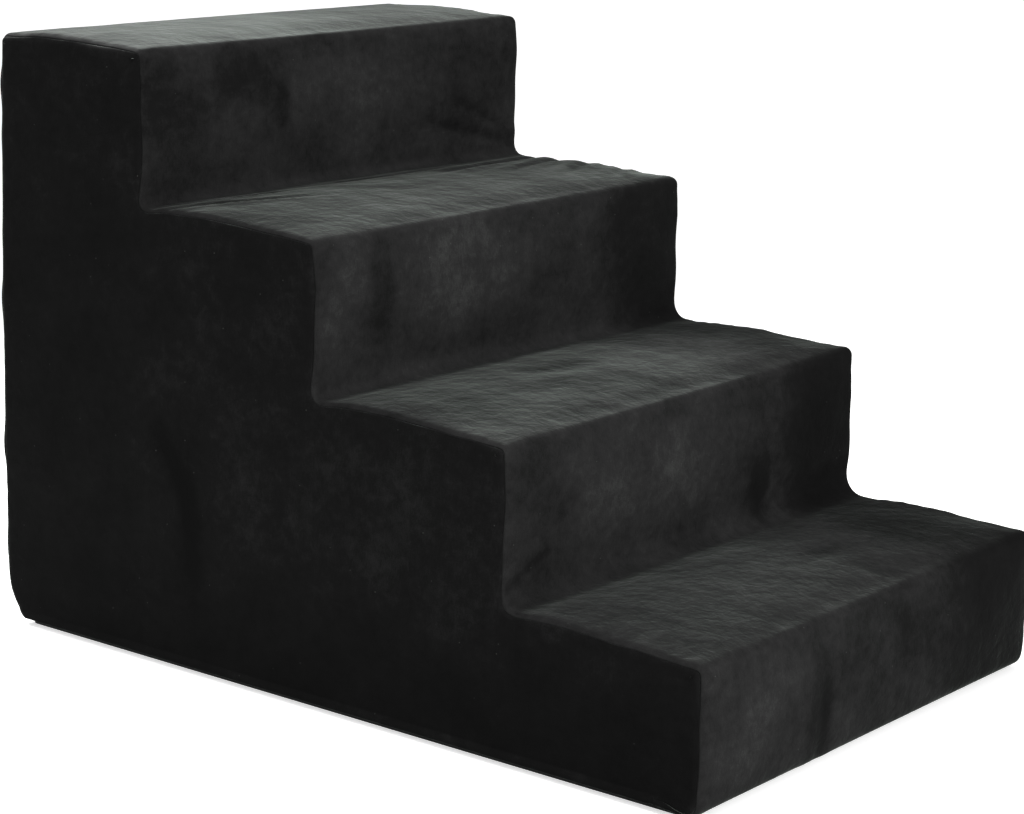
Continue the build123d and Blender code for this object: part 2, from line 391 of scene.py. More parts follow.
@dataclass(frozen=True)
class StairSizes:
    """Driving sizes of the stuffed cover: the frame's, settled by a millimetre or two in use."""

    rises: tuple[float, ...] = (110 * MM, 115 * MM, 114 * MM, 116 * MM)
    goings: tuple[float, ...] = (158.5 * MM, 168 * MM, 166.5 * MM, 154.5 * MM)
    width: float = 431 * MM
    face_crown: float = 2.2 * MM
    side_crown: float = 1 * MM
    nosing_radius: float = 7.5 * MM
    inner_radii: tuple[float, ...] = (13 * MM, 11 * MM, 8 * MM)
    toe_radius: float = 11 * MM
    heel_radius: float = 40 * MM
    back_lean: float = 3 * MM
    side_radius: float = 8 * MM
    bottom: float = 0.6 * MM
    seam_inset: float = 2 * MM
    hem_height: float = 10.5 * MM
    lip_height: float = 4.4 * MM
    stitch_height: float = 17 * MM
    sag_left: float = 5 * MM
    sag_right: float = 1.5 * MM
    sag_along: float = 85 * MM
    sag_down: float = 55 * MM
    corner_pull: float = 3 * MM
    pull_reach: float = 9 * MM
    pull_span: tuple[float, float] = (60 * MM, 205 * MM)

    @property
    def length(self) -> float:
        """Whole length along Y."""
        return sum(self.goings)

    @property
    def height(self) -> float:
        """Whole height."""
        return sum(self.rises)

    def riser(self, step: int) -> float:
        """Y of the face of a riser at its crown, counted from 0."""
        return sum(self.goings[:step]) - self.length / 2

    def tread(self, step: int) -> float:
        """Z of a tread at its crown, counted from 0."""
        return sum(self.rises[: step + 1])

    def half_width(self, z: np.ndarray) -> np.ndarray:
        """Half the width at a height: the sides bow outwards as a parabola."""
        share = (z - self.height / 2) / (self.height / 2)
        return self.width / 2 - self.side_crown * share**2

    def settled(self, points: np.ndarray) -> np.ndarray:
        """Places after the front corners have sagged with use, most at the left end.

        Around each nosing they drop by a bell of the distance from it, wider along the tread than
        down the riser. Towards the left end the inner corners are drawn in by a smaller bell.

        Args:
            points: Places as the stairs were made.

        Returns:
            Places after settling.
        """
        share = np.clip(0.5 - points[..., 0] / self.width, 0, 1)
        spots = [(self.riser(step), self.tread(step), 1.0) for step in range(len(self.rises))]
        spots.append((self.length / 2, self.height, 0.6))
        drop = np.zeros(points.shape[:-1])
        for y, z, part in spots:
            along = (points[..., 1] - y) / self.sag_along
            down = (points[..., 2] - z) / self.sag_down
            drop += part * np.exp(-(along**2) - down**2)
        lowered = points.copy()
        lowered[..., 2] -= drop * (self.sag_right + (self.sag_left - self.sag_right) * share)
        pull = self.corner_pull * smooth_step(-points[..., 0], *self.pull_span)
        for step in range(1, len(self.rises)):
            along = points[..., 1] - self.riser(step)
            down = points[..., 2] - self.tread(step - 1)
            bell = pull * np.exp(-(along**2 + down**2) / self.pull_reach**2)
            lowered[..., 1] += bell
            lowered[..., 2] -= bell
        return lowered


@dataclass(frozen=True)
class Arc:
    """Round stretch of the side view, walked with the outside on the left."""

    centre: np.ndarray
    radius: float
    start: float
    sweep: float

    @staticmethod
    def between(centre: np.ndarray, first: np.ndarray, last: np.ndarray, clockwise: bool) -> "Arc":
        """Arc round a centre from one point to another.

        Args:
            centre: Centre of the circle.
            first: Start of the arc.
            last: End of the arc.
            clockwise: True where the outline bulges outwards.

        Returns:
            The arc.
        """
        start = math.atan2(first[1] - centre[1], first[0] - centre[0])
        end = math.atan2(last[1] - centre[1], last[0] - centre[0])
        sweep = (end - start) % math.tau
        if clockwise:
            sweep -= math.tau
        return Arc(centre, float(np.hypot(*(first - centre))), start, sweep)

    def at(self, shares: np.ndarray) -> tuple[np.ndarray, np.ndarray]:
        """Points and outward normals at shares of the arc.

        Args:
            shares: Shares of the sweep, from 0 to 1.

        Returns:
            Points and normals, each as rows of two.
        """
        angle = self.start + self.sweep * shares
        ray = np.stack([np.cos(angle), np.sin(angle)], axis=-1)
        return self.centre + self.radius * ray, -ray * math.copysign(1.0, self.sweep)


def crown_circle(first: np.ndarray, last: np.ndarray, crown: float) -> tuple[np.ndarray, float]:
    """Circle through two corners that rises by a crown half way, on the outer side.

    Args:
        first: Corner where the edge starts.
        last: Corner where it ends.
        crown: Rise half way, in metres.

    Returns:
        Centre and radius.
    """
    chord = last - first
    span = float(np.hypot(*chord))
    outward = np.array([-chord[1], chord[0]]) / span
    radius = (span * span / 4 + crown * crown) / (2 * crown)
    return (first + last) / 2 - outward * (radius - crown), radius


def fillet_centre(
    before: tuple[np.ndarray, float], after: tuple[np.ndarray, float], corner: np.ndarray, reach: float
) -> np.ndarray:
    """Centre of a fillet between two circles: where two circles grown by reach cross near the corner.

    Args:
        before: Centre and radius of the edge before the corner.
        after: Centre and radius of the edge after it.
        corner: The sharp corner.
        reach: Fillet radius, negative on an outer corner.

    Returns:
        Centre of the fillet.
    """
    (first, first_radius), (second, second_radius) = before, after
    gap = second - first
    span = float(np.hypot(*gap))
    along = gap / span
    one = first_radius + reach
    two = second_radius + reach
    step = (one * one - two * two + span * span) / (2 * span)
    rise = math.sqrt(max(one * one - step * step, 0.0))
    across = np.array([-along[1], along[0]])
    choices = [first + along * step + across * rise, first + along * step - across * rise]
    return min(choices, key=lambda place: float(np.hypot(*(place - corner))))


@dataclass
class Outline:
    """Side view of the cover, from under the toe over the steps and down the back to the hem."""

    sizes: StairSizes
    toe_cells: int = 4
    nosing_cells: int = 6
    inner_cells: int = 4
    riser_cells: int = 13
    tread_cells: tuple[int, ...] = (19, 20, 20, 17)
    heel_cells: int = 3
    end_density: float = 0.35
    points: np.ndarray = field(init=False)
    normals: np.ndarray = field(init=False)
    run: np.ndarray = field(init=False)
    riser_rows: list[int] = field(init=False)
    tread_columns: list[int] = field(init=False)
    strip_end: int = field(init=False)

    def __post_init__(self) -> None:
        """Works out the stations and how they count along the side panel's rows and columns."""
        half_nosing = self.nosing_cells // 2
        half_inner = self.inner_cells // 2
        steps = range(len(self.sizes.rises))
        self.riser_rows = [
            (half_inner if step else self.toe_cells) + self.riser_cells - (step == 0) + half_nosing
            for step in steps
        ]
        self.tread_columns = [
            half_nosing + cells + (half_inner if step < len(steps) - 1 else half_nosing)
            for step, cells in zip(steps, self.tread_cells)
        ]
        back_cells = sum(self.riser_rows) - half_nosing - self.heel_cells
        pieces = self._pieces(back_cells)
        points, normals = [], []
        for arc, cells, eased in pieces:
            shares = np.linspace(0, 1, cells + 1)
            if eased:
                shares = shares - self.end_density * np.sin(math.tau * shares) / math.tau
            place, normal = arc.at(shares)
            first = 1 if points else 0
            points.append(place[first:])
            normals.append(normal[first:])
        self.points = np.concatenate(points)
        self.normals = np.concatenate(normals)
        flat = smooth_step(-self.points[:, 1], -self.sizes.heel_radius, -self.sizes.stitch_height)
        heel = self.points[:, 0] > 0
        self.normals[heel, 1] *= 1 - flat[heel]
        self.normals /= np.hypot(*self.normals.T)[:, None]
        steps_long = np.hypot(*np.diff(self.points, axis=0).T)
        self.run = np.concatenate([[0.0], np.cumsum(steps_long)])
        self.strip_end = sum(self.riser_rows) + sum(self.tread_columns) + 1

    def _pieces(self, back_cells: int) -> list[tuple[Arc, int, bool]]:
        """Arcs of the outline with their cell counts, and whether their ends are denser.

        Args:
            back_cells: Cells down the back.

        Returns:
            Arc, number of cells, and whether they crowd at its ends.
        """
        sizes = self.sizes
        crown = sizes.face_crown
        count = len(sizes.rises)
        toe = np.array([sizes.riser(0) + crown, sizes.bottom])
        top_back = np.array([sizes.length / 2 - crown, sizes.height - crown])
        heel = np.array([top_back[0] + sizes.back_lean, sizes.bottom])
        corners = [heel, toe]
        for step in range(count):
            z = sizes.tread(step) - crown
            corners.append(np.array([sizes.riser(step) + crown, z]))
            corners.append(top_back if step == count - 1 else np.array([sizes.riser(step + 1) + crown, z]))
        corners.append(heel)
        tiny = 1e-6
        crowns = [tiny] + [crown] * (len(corners) - 2)
        circles = [crown_circle(a, b, h) for a, b, h in zip(corners, corners[1:], crowns)]
        radii = [sizes.toe_radius]
        cells = [self.toe_cells]
        for step in range(count):
            last = step == count - 1
            radii += [sizes.nosing_radius, sizes.nosing_radius if last else sizes.inner_radii[step]]
            cells += [self.nosing_cells, self.nosing_cells if last else self.inner_cells]
        edge_cells = []
        for step in range(count):
            edge_cells += [self.riser_cells - (step == 0), self.tread_cells[step]]
        edge_cells.append(back_cells)
        fillets = []
        for place, radius in enumerate(radii):
            inner = place >= 2 and place % 2 == 0 and place < len(radii) - 1
            before, after = circles[place], circles[place + 1]
            reach = radius if inner else -radius
            centre = fillet_centre(before, after, corners[place + 1], reach)
            ends = [c + (centre - c) / np.hypot(*(centre - c)) * r for c, r in (before, after)]
            fillets.append(Arc.between(centre, ends[0], ends[1], not inner))
        heel_centre = fillet_centre(circles[-1], circles[0], heel, -sizes.heel_radius)
        back_centre, back_radius = circles[-1]
        heel_way = heel_centre - back_centre
        back_end = back_centre + heel_way / np.hypot(*heel_way) * back_radius
        drop = heel_centre[1] - sizes.stitch_height
        stitch_y = heel_centre[0] + math.sqrt(sizes.heel_radius**2 - drop**2)
        stitch = np.array([stitch_y, sizes.stitch_height])
        pieces = []
        for place, fillet in enumerate(fillets):
            pieces.append((fillet, cells[place], False))
            start = fillet.at(np.array([1.0]))[0][0]
            end = back_end if place == len(fillets) - 1 else fillets[place + 1].at(np.array([0.0]))[0][0]
            edge = Arc.between(circles[place + 1][0], start, end, True)
            pieces.append((edge, edge_cells[place], True))
        pieces.append((Arc.between(heel_centre, back_end, stitch, True), self.heel_cells, False))
        return pieces


# The stuffed cover


@dataclass(frozen=True)
class Fold:
    """Crease in the cloth: a valley with raised shoulders along a path, in millimetres, darkened along the
    valley by painted shade.
    """

    path: tuple[tuple[float, float, float], ...]
    half_width: float
    depth: float
    shoulder_share: float = 0.4
    # Painted shade that darkens the valley
    tone: float = -0.1
    fade_start: bool = True
    fade_end: bool = True

    def shape(self, points: np.ndarray) -> tuple[np.ndarray, np.ndarray]:
        """How far the fold moves points outwards, and the painted shade along its valley.

        The valley is minus depth times exp(-(d/w)^2) of the distance d to the path, and the
        shoulders are the same bell at twice the half width, both easing out at the path's ends.

        Args:
            points: Places in metres.

        Returns:
            Outward move of each point in metres, and the painted shade of its valley as tone.
        """
        path = np.array(self.path) * MM
        spans = np.hypot.reduce(np.diff(path, axis=0), axis=1)
        starts = np.concatenate([[0.0], np.cumsum(spans)])
        best = np.full(len(points), np.inf)
        share = np.zeros(len(points))
        for first, last, span, start in zip(path, path[1:], spans, starts):
            along = np.clip((points - first) @ (last - first) / span**2, 0, 1)
            distance = np.linalg.norm(points - first - along[:, None] * (last - first), axis=1)
            nearer = distance < best
            best = np.where(nearer, distance, best)
            share = np.where(nearer, (start + along * span) / starts[-1], share)
        width = self.half_width * MM
        valley = np.exp(-((best / width) ** 2))
        shoulder = np.exp(-(((best - 2 * width) / width) ** 2))
        ease = np.ones(len(points))
        if self.fade_start:
            ease *= smooth_step(share, 0.0, 0.35)
        if self.fade_end:
            ease *= 1 - smooth_step(share, 0.6, 1.0)
        rise = self.shoulder_share * shoulder - valley
        return self.depth * MM * ease * rise, self.tone * ease * valley


@dataclass(frozen=True)
class NapAndShadeMark:
    """Patch of tone, in millimetres: a soft ellipsoid where the pile lies the other way, also used for
    painted light and shade.
    """

    place: tuple[float, float, float]
    reach: tuple[float, float, float]
    tone: float

    def tone_at(self, points: np.ndarray) -> np.ndarray:
        """Tone that the mark adds at points: tone times exp(-r^4) in units of its reach.

        Args:
            points: Places in metres.

        Returns:
            Tone of each point.
        """
        offset = (points - np.array(self.place) * MM) / (np.array(self.reach) * MM)
        radius = np.sum(offset * offset, axis=1)
        return self.tone * np.exp(-radius * radius)


FOLDS = (
    # Long soft crease down the left side, more a painted shade along its line than a dent
    Fold(
        ((-215, 172, 206), (-215, 142, 166), (-215, 122, 132), (-215, 116, 72), (-215, 114, 24)),
        11.0, 0.8, 0.3, -0.24,
    ),
    Fold(((-215, 150, 290), (-215, 134, 271), (-215, 120, 258)), 3.0, 0.5, 0.3, -0.12),
    # Folds drawn into the right end of the third inner corner
    Fold(
        ((80, 169, 377), (130, 169, 366), (178, 169, 356), (219, 169, 343)),
        4.2, 1.2, 0.5, -0.10, fade_end=False,
    ),
    Fold(
        ((112, 169, 392), (150, 169, 380), (190, 169, 362), (218, 169, 348)),
        3.4, 0.9, 0.5, -0.06, fade_end=False,
    ),
    # Thin folds out of the left end of the same corner, across the third tread
    Fold(
        ((-208, 164, 339), (-157, 160, 339), (-112, 151, 339), (-62, 144, 339)),
        3.0, 1.2, 0.5, -0.05, fade_start=False,
    ),
    Fold(
        ((-208, 148, 339), (-165, 139, 339), (-120, 119, 339), (-70, 103, 339)),
        3.4, 1.0, 0.5, -0.05, fade_start=False,
    ),
    Fold(((-90, 158, 339), (10, 150, 339), (90, 153, 339), (160, 158, 339)), 4.4, 0.9, 0.5, -0.03),
    # Soft dents in the second and first treads
    Fold(((-80, -46, 225), (-30, -66, 225), (30, -56, 225)), 11.0, 0.9, 0.3, -0.08),
    Fold(((-20, -262, 110), (30, -250, 110), (80, -256, 110)), 9.0, 0.7, 0.3, -0.05),
    # Ripples across the right of the third tread
    Fold(
        ((40, 122, 339), (100, 134, 339), (160, 139, 339), (208, 146, 339)),
        4.6, 1.3, 0.6, -0.03, fade_end=False,
    ),
    Fold(
        ((90, 88, 339), (140, 106, 339), (185, 116, 339), (212, 121, 339)),
        4.6, 1.3, 0.6, -0.03, fade_end=False,
    ),
    Fold(
        ((128, 54, 339), (165, 74, 339), (196, 87, 339), (213, 94, 339)),
        4.6, 1.2, 0.6, -0.03, fade_end=False,
    ),
    Fold(((160, 28, 339), (186, 46, 339), (213, 60, 339)), 4.2, 1.0, 0.6, -0.03, fade_end=False),
    # Short creases on the third and second risers
    Fold(((124, 3, 276), (133, 3, 283), (143, 3, 288)), 2.6, 0.6),
    Fold(
        ((-213, -165, 118), (-192, -165, 130), (-160, -165, 144)),
        4.0, 1.4, 0.4, -0.10, fade_start=False,
    ),
    Fold(((64, -165, 114), (72, -165, 138), (66, -165, 168)), 6.0, 0.6, 0.3, -0.08),
    # Upright folds on the lowest riser
    Fold(((-74, -324, 70), (-76, -324, 42), (-70, -324, 8)), 7.0, 0.8, 0.4, -0.10, fade_end=False),
    Fold(((-122, -324, 110), (-111, -324, 98), (-101, -324, 84)), 4.0, 0.7, 0.4, -0.08),
    Fold(((20, -324, 98), (30, -324, 70), (24, -324, 34)), 9.0, 0.6, 0.2, -0.08),
)

NAP_AND_SHADE_MARKS = (
    # Third riser, its darker right end painted shade where the light falls off
    NapAndShadeMark((-147, 3, 288), (13, 12, 46), -0.11),
    NapAndShadeMark((-186, 3, 280), (20, 12, 46), 0.06),
    NapAndShadeMark((-70, 3, 296), (80, 12, 40), 0.10),
    NapAndShadeMark((178, 3, 285), (66, 14, 70), -0.19),
    # Fourth riser, its darker right end painted shade where the light falls off
    NapAndShadeMark((-100, 169, 425), (46, 12, 22), -0.10),
    NapAndShadeMark((-72, 169, 398), (9, 12, 18), -0.12),
    NapAndShadeMark((20, 169, 398), (80, 12, 34), 0.06),
    NapAndShadeMark((150, 169, 400), (60, 14, 60), -0.04),
    NapAndShadeMark((-190, 169, 400), (34, 12, 60), -0.10),
    # Second riser, its darker right end painted shade where the light falls off
    NapAndShadeMark((84, -165, 138), (12, 14, 32), -0.16),
    NapAndShadeMark((176, -165, 170), (66, 14, 70), -0.27),
    NapAndShadeMark((-60, -165, 172), (90, 14, 40), 0.08),
    # Lowest riser, its darker right end painted shade where the light falls off
    NapAndShadeMark((-162, -324, 50), (44, 14, 48), 0.06),
    NapAndShadeMark((-180, -165, 165), (36, 14, 44), -0.06),
    NapAndShadeMark((-78, -324, 40), (15, 14, 40), -0.12),
    NapAndShadeMark((10, -324, 60), (70, 14, 50), -0.05),
    NapAndShadeMark((160, -324, 60), (80, 16, 80), -0.19),
    # Treads: the brighter patches are painted highlights and the darker right ends painted shade where the
    # light falls off
    NapAndShadeMark((0, 60, 339), (150, 40, 12), 0.12),
    NapAndShadeMark((80, -90, 225), (90, 46, 12), 0.16),
    NapAndShadeMark((190, -60, 225), (50, 110, 12), -0.16),
    NapAndShadeMark((-150, -60, 225), (40, 60, 12), -0.06),
    NapAndShadeMark((180, -230, 110), (70, 100, 12), -0.18),
    NapAndShadeMark((-40, -250, 110), (90, 50, 12), 0.06),
    # Upper left side catches a little more light than the lower
    NapAndShadeMark((-215, -100, 150), (30, 200, 70), 0.03),
    NapAndShadeMark((-215, 280, 150), (30, 120, 210), -0.08),
)


@dataclass(frozen=True)
class PileLay:
    """How the pile lies on a tread, in millimetres: brushed over towards the right end and dished."""

    front: float
    rear: float
    level: float
    start: float
    slope: float
    left_slope: float
    dish: float
    left_start: float = -90
    soft: float = 12

    def height_at(self, points: np.ndarray) -> np.ndarray:
        """Height in millimetres that gives the shading its tilt.

        It rises to the right of the start by the slope and to the left of the left start by the left
        slope, each with a soft beginning, less the dish times one minus u squared, where u runs from -1 at
        the front to 1 at the rear. It fades out slowly down the riser in front and quickly up the
        one behind.

        Args:
            points: Places in metres.

        Returns:
            Height of each point.
        """
        x, y, z = (points / MM).T
        rise = self.slope * self.soft * np.logaddexp(0, (x - self.start) / self.soft)
        rise += self.left_slope * self.soft * np.logaddexp(0, (self.left_start - x) / self.soft)
        u = np.clip((2 * y - self.front - self.rear) / (self.rear - self.front), -1, 1)
        above = z - self.level
        level = smooth_step(above, -110, -2) * (1 - smooth_step(above, 6, 30))
        near = (y > self.front - 12) & (y < self.rear + 12)
        return (rise - self.dish * (1 - u * u)) * level * near


PILE_LAYS = (
    PileLay(-322, -168, 110, 40, 0.13, 0.03, 5.5),
    PileLay(-160, 2, 225, 80, 0.15, 0.04, 5.5),
    PileLay(8, 168, 340, -40, 0.045, 0.0, 4.0),
    PileLay(178, 325, 455, 20, 0.09, 0.0, 2.0),
)


# Stiffness, damping and pressure of the cloth simulation
CLOTH_SETTINGS = {
    "quality": 5,
    "mass": 0.15,
    "tension_stiffness": 12,
    "compression_stiffness": 6,
    "shear_stiffness": 4,
    "bending_stiffness": 0.08,
    "air_damping": 1.0,
    "pin_stiffness": 1.0,
    "use_pressure": True,
    "uniform_pressure_force": 1.8,
    "shrink_min": -0.004,
}


@dataclass
class CoverBag:
    """The stuffed cover as one closed grid, before it is cut into its panels."""

    sizes: StairSizes
    outline: Outline
    flat_cells: int = 54
    round_cells: int = 4
    ring_shares: tuple[float, ...] = (0.0, 0.25, 0.58, 1.0)
    ring_reach: float = 8 * MM
    toe_reach: float = 6 * MM
    slack: float = 0.6 * MM
    swell_cap: float = 3.2 * MM
    lift: float = 0.4
    give: float = 0.5 * MM
    frames: int = 20
    relax_rounds: int = 600
    even_rounds: int = 60
    climbs: tuple[float, float] = (18 * MM, 1.5 * MM)
    points: np.ndarray = field(init=False)
    strip: np.ndarray = field(init=False)
    rings: dict[int, np.ndarray] = field(init=False)
    blocks: dict[int, np.ndarray] = field(init=False)
    lean: np.ndarray = field(init=False)
    across: np.ndarray = field(init=False)
    normals: np.ndarray = field(init=False)

    def __post_init__(self) -> None:
        """Lays out the grids, then joins them at the seams."""
        self._lay_strip()
        self.rings, self.blocks = {}, {}
        for side in (LEFT, RIGHT):
            self._lay_side(side)

    def _lay_strip(self) -> None:
        """Grid of the strip and the back: stations along the outline by columns across.

        Near each side the surface turns a quarter round of the side radius: at an angle it has
        dropped by radius times one minus its sine and gone in by radius times one minus its cosine.
        """
        sizes = self.sizes
        radius = sizes.side_radius
        seam_angle = math.acos(1 - sizes.seam_inset / radius)
        angles = np.linspace(seam_angle, math.pi / 2, self.round_cells + 1)[:-1]
        shares = np.linspace(-1, 1, self.flat_cells + 1)
        shares = shares + 0.3 * np.sin(math.pi * shares) / math.pi
        flat_angle = np.full(len(shares), math.pi / 2)
        angle = np.concatenate([angles, flat_angle, angles[::-1]])
        share = np.concatenate([-np.ones(len(angles)), shares, np.ones(len(angles))])
        sign = np.where(share < 0, -1.0, 1.0)
        drop = radius * (1 - np.sin(angle))
        place = self.outline.points[:, None, :] - drop[None, :, None] * self.outline.normals[:, None, :]
        flat_half = sizes.half_width(place[..., 1]) - radius
        x = share * flat_half + sign * radius * np.cos(angle)
        points = np.concatenate([x[..., None], place], axis=-1)
        outward = self.outline.normals[:, None, :] * np.sin(angle)[None, :, None]
        side_part = np.broadcast_to((sign * np.cos(angle))[None, :, None], (len(outward), len(angle), 1))
        self.lean = angle
        self.across = share * (sizes.width / 2 - radius) + sign * radius * (math.pi / 2 - angle)
        self.points = points.reshape(-1, 3)
        self.normals = np.concatenate([side_part, outward], axis=-1).reshape(-1, 3)
        self.strip = np.arange(len(self.points)).reshape(points.shape[:2])

    def _append(self, points: np.ndarray, normals: np.ndarray) -> np.ndarray:
        """Adds points to the bag and returns their numbers.

        Args:
            points: Places in metres.
            normals: Outward directions.

        Returns:
            Numbers of the new points.
        """
        first = len(self.points)
        self.points = np.concatenate([self.points, points])
        self.normals = np.concatenate([self.normals, normals])
        return np.arange(first, first + len(points))

    def _lay_side(self, side: int) -> None:
        """Ring of cells round the edge of a side panel, and the block of cells inside it.

        The ring follows the outline, set in from the seam by steps. The block's cells are laid out
        by rows and columns that end at the ring, and each inner point is the mean of its neighbours.

        Args:
            side: LEFT or RIGHT.
        """
        sizes, outline = self.sizes, self.outline
        radius = sizes.side_radius
        seam_drop = radius * (1 - math.sqrt(1 - (1 - sizes.seam_inset / radius) ** 2))
        stations = len(outline.points)
        near_toe = smooth_step(outline.run, 10 * MM, 45 * MM)
        reach = self.toe_reach + (self.ring_reach - self.toe_reach) * near_toe
        ring = np.empty((len(self.ring_shares), stations), dtype=int)
        ring[0] = self.strip[:, 0 if side == LEFT else -1]
        for level, share in enumerate(self.ring_shares[1:], start=1):
            drop = seam_drop + (reach - seam_drop) * share
            place = outline.points - drop[:, None] * outline.normals
            lean = np.arcsin(np.clip(1 - drop / radius, 0, 1))
            x = side * (sizes.half_width(place[:, 1]) - radius * (1 - np.cos(lean)))
            normals = np.column_stack([side * np.cos(lean), outline.normals * np.sin(lean)[:, None]])
            ring[level] = self._append(np.column_stack([x, place]), normals)
        self.rings[side] = ring
        self.blocks[side] = self._lay_block(side, ring[-1])

    def _walk(self) -> tuple[np.ndarray, np.ndarray, np.ndarray]:
        """Column and row of each station on the block's edge, and which block points exist.

        Returns:
            Columns and rows of the stations in order, and a grid that is true inside the stairs.
        """
        rows = np.concatenate([[0], np.cumsum(self.outline.riser_rows)])
        columns = np.concatenate([[0], np.cumsum(self.outline.tread_columns)])
        walk = [(0, 0)]
        for step in range(len(rows) - 1):
            walk += [(columns[step], row) for row in range(rows[step] + 1, rows[step + 1] + 1)]
            walk += [(column, rows[step + 1]) for column in range(columns[step] + 1, columns[step + 1] + 1)]
        walk += [(columns[-1], row) for row in range(rows[-1] - 1, -1, -1)]
        valid = np.zeros((columns[-1] + 1, rows[-1] + 1), dtype=bool)
        for step in range(len(rows) - 1):
            valid[columns[step] :, rows[step] : rows[step + 1] + 1] = True
            if step:
                valid[: columns[step], rows[step] + 1 : rows[step + 1] + 1] = False
        walked = np.array(walk)
        return walked[:, 0], walked[:, 1], valid

    def _lay_block(self, side: int, edge: np.ndarray) -> np.ndarray:
        """Numbers of the block's points, -1 where the stairs have none.

        Args:
            side: LEFT or RIGHT.
            edge: Numbers of the ring's inner points in order.

        Returns:
            Grid of point numbers.
        """
        sizes = self.sizes
        columns, rows, valid = self._walk()
        place = np.zeros((*valid.shape, 2))
        edge_points = self.points[edge][:, 1:]
        fixed = np.zeros(valid.shape, dtype=bool)
        fixed[columns, rows] = True
        column_y = np.zeros(valid.shape[0])
        row_z = np.zeros(valid.shape[1])
        back = self.outline.strip_end
        column_y[columns[:back]] = edge_points[:back, 0]
        row_z[rows[:back]] = edge_points[:back, 1]
        place[..., 0] = column_y[:, None]
        place[..., 1] = row_z[None, :]
        bottom_y = column_y.copy()
        bottom_y[0] = edge_points[0, 0]
        for _ in range(self.even_rounds):
            bottom_y[1:-1] = (bottom_y[:-2] + 2 * bottom_y[1:-1] + bottom_y[2:]) / 4
        # On the right the hem climbs sooner, clear of the zip pull when that is turned forward
        climb = self.climbs[0 if side == LEFT else 1]
        front = smooth_step(bottom_y, bottom_y[0], bottom_y[0] + climb)
        place[:, 0, 0] = bottom_y
        place[:, 0, 1] = edge_points[0, 1] + (sizes.stitch_height - edge_points[0, 1]) * front
        place[columns, rows] = edge_points
        fixed[:, 0] = True
        free = valid & ~fixed
        inner = free[1:-1, 1:-1]
        for _ in range(self.relax_rounds):
            mean = (place[:-2, 1:-1] + place[2:, 1:-1] + place[1:-1, :-2] + place[1:-1, 2:]) / 4
            place[1:-1, 1:-1][inner] = mean[inner]
        block = np.full(valid.shape, -1)
        block[columns, rows] = edge
        loose = valid & (block < 0)
        spots = place[loose]
        x = side * sizes.half_width(spots[:, 1])
        normals = np.tile([float(side), 0.0, 0.0], (len(spots), 1))
        block[loose] = self._append(np.column_stack([x, spots]), normals)
        return block

    def block_quads(self, side: int) -> np.ndarray:
        """Quads of one side's block."""
        quads = grid_quads(self.blocks[side], flip=side == RIGHT)
        return quads[(quads >= 0).all(axis=1)]

    def all_quads(self) -> np.ndarray:
        """Quads of the whole bag, facing outwards.

        Returns:
            Rows of four point numbers.
        """
        parts = [grid_quads(self.strip)]
        for side in (LEFT, RIGHT):
            parts.append(grid_quads(self.rings[side], flip=side == RIGHT))
            parts.append(self.block_quads(side))
        return np.concatenate(parts)

    def wander(self) -> None:
        """Lets the sewn edges stray from true lines by a sum of slow sines along each seam."""
        run = np.repeat(self.outline.run[:, None], self.strip.shape[1], axis=1)
        radius = self.sizes.side_radius
        edge = self.sizes.width / 2 - radius
        reach = np.clip(1 - (edge - np.abs(self.across)) / (26 * MM), 0, 1)
        for side in (LEFT, RIGHT):
            phase = 1.3 if side == LEFT else 4.1
            slow = np.sin(run / (19 * MM) + phase) + 0.7 * np.sin(run / (9.1 * MM) + 2 * phase)
            rise = np.sin(run / (14 * MM) + 3 * phase) + 0.6 * np.sin(run / (6.3 * MM) + phase)
            near = np.where(np.sign(self.across) == side, reach, 0.0) ** 1.5
            push = (near * rise * 0.45 * MM)[..., None] * self.normals[self.strip]
            push[..., 0] += near * slow * (0.7 if side == LEFT else 0.3) * MM
            self.points[self.strip] += push

    def swell(self) -> None:
        """Stuffs the cover: cloth under pressure, held at its seams, hem and inner corners.

        The cloth starts a little inside the finished skin. Of its way outwards it keeps a share, up
        to the cap, and the core stops it from going in by more than it gives.
        """
        self.points -= self.slack * self.normals
        start = self.points.copy()
        bag = make_piece("bag_in_the_making", self.points, self.all_quads())
        group = bag.vertex_groups.new(name="held")
        pins = self._pins()
        for weight in np.unique(pins[pins > 0]):
            group.add(np.flatnonzero(pins == weight).tolist(), float(weight), "REPLACE")
        cloth = bag.modifiers.new("cloth", "CLOTH")
        for key, value in CLOTH_SETTINGS.items():
            setattr(cloth.settings, key, value)
        cloth.settings.vertex_group_mass = group.name
        cloth.settings.effector_weights.gravity = 0
        cloth.collision_settings.use_collision = False
        scene = bpy.context.scene
        for step in range(1, self.frames + 1):
            scene.frame_set(step)
        apply_modifiers(bag)
        out = np.sum((vertex_places(bag.data) - start) * self.normals, axis=1)
        scene.frame_set(1)
        bpy.data.objects.remove(bag)
        LOG.info("swell: mean %.2f mm, most %.2f mm", 1000 * out.mean(), 1000 * out.max())
        kept = np.where(out < 0, self.give * np.tanh(out / self.give), self.lift * out)
        push = self.swell_cap * np.tanh(self._evened(kept) / self.swell_cap)
        self.points = start + push[:, None] * self.normals

    def _evened(self, values: np.ndarray, rounds: int = 5) -> np.ndarray:
        """Values at the points, each taken half way to its neighbours' mean in every round.

        Args:
            values: One value at each point.
            rounds: Number of rounds.

        Returns:
            The smoothed values.
        """
        quads = self.all_quads()
        ends = np.concatenate([quads[:, [k, (k + 1) % 4]] for k in range(4)])
        ends = np.concatenate([ends, ends[:, ::-1]])
        count = np.maximum(np.bincount(ends[:, 0], minlength=len(values)), 1)
        for _ in range(rounds):
            mean = np.bincount(ends[:, 0], values[ends[:, 1]], minlength=len(values)) / count
            values = (values + mean) / 2
        return values

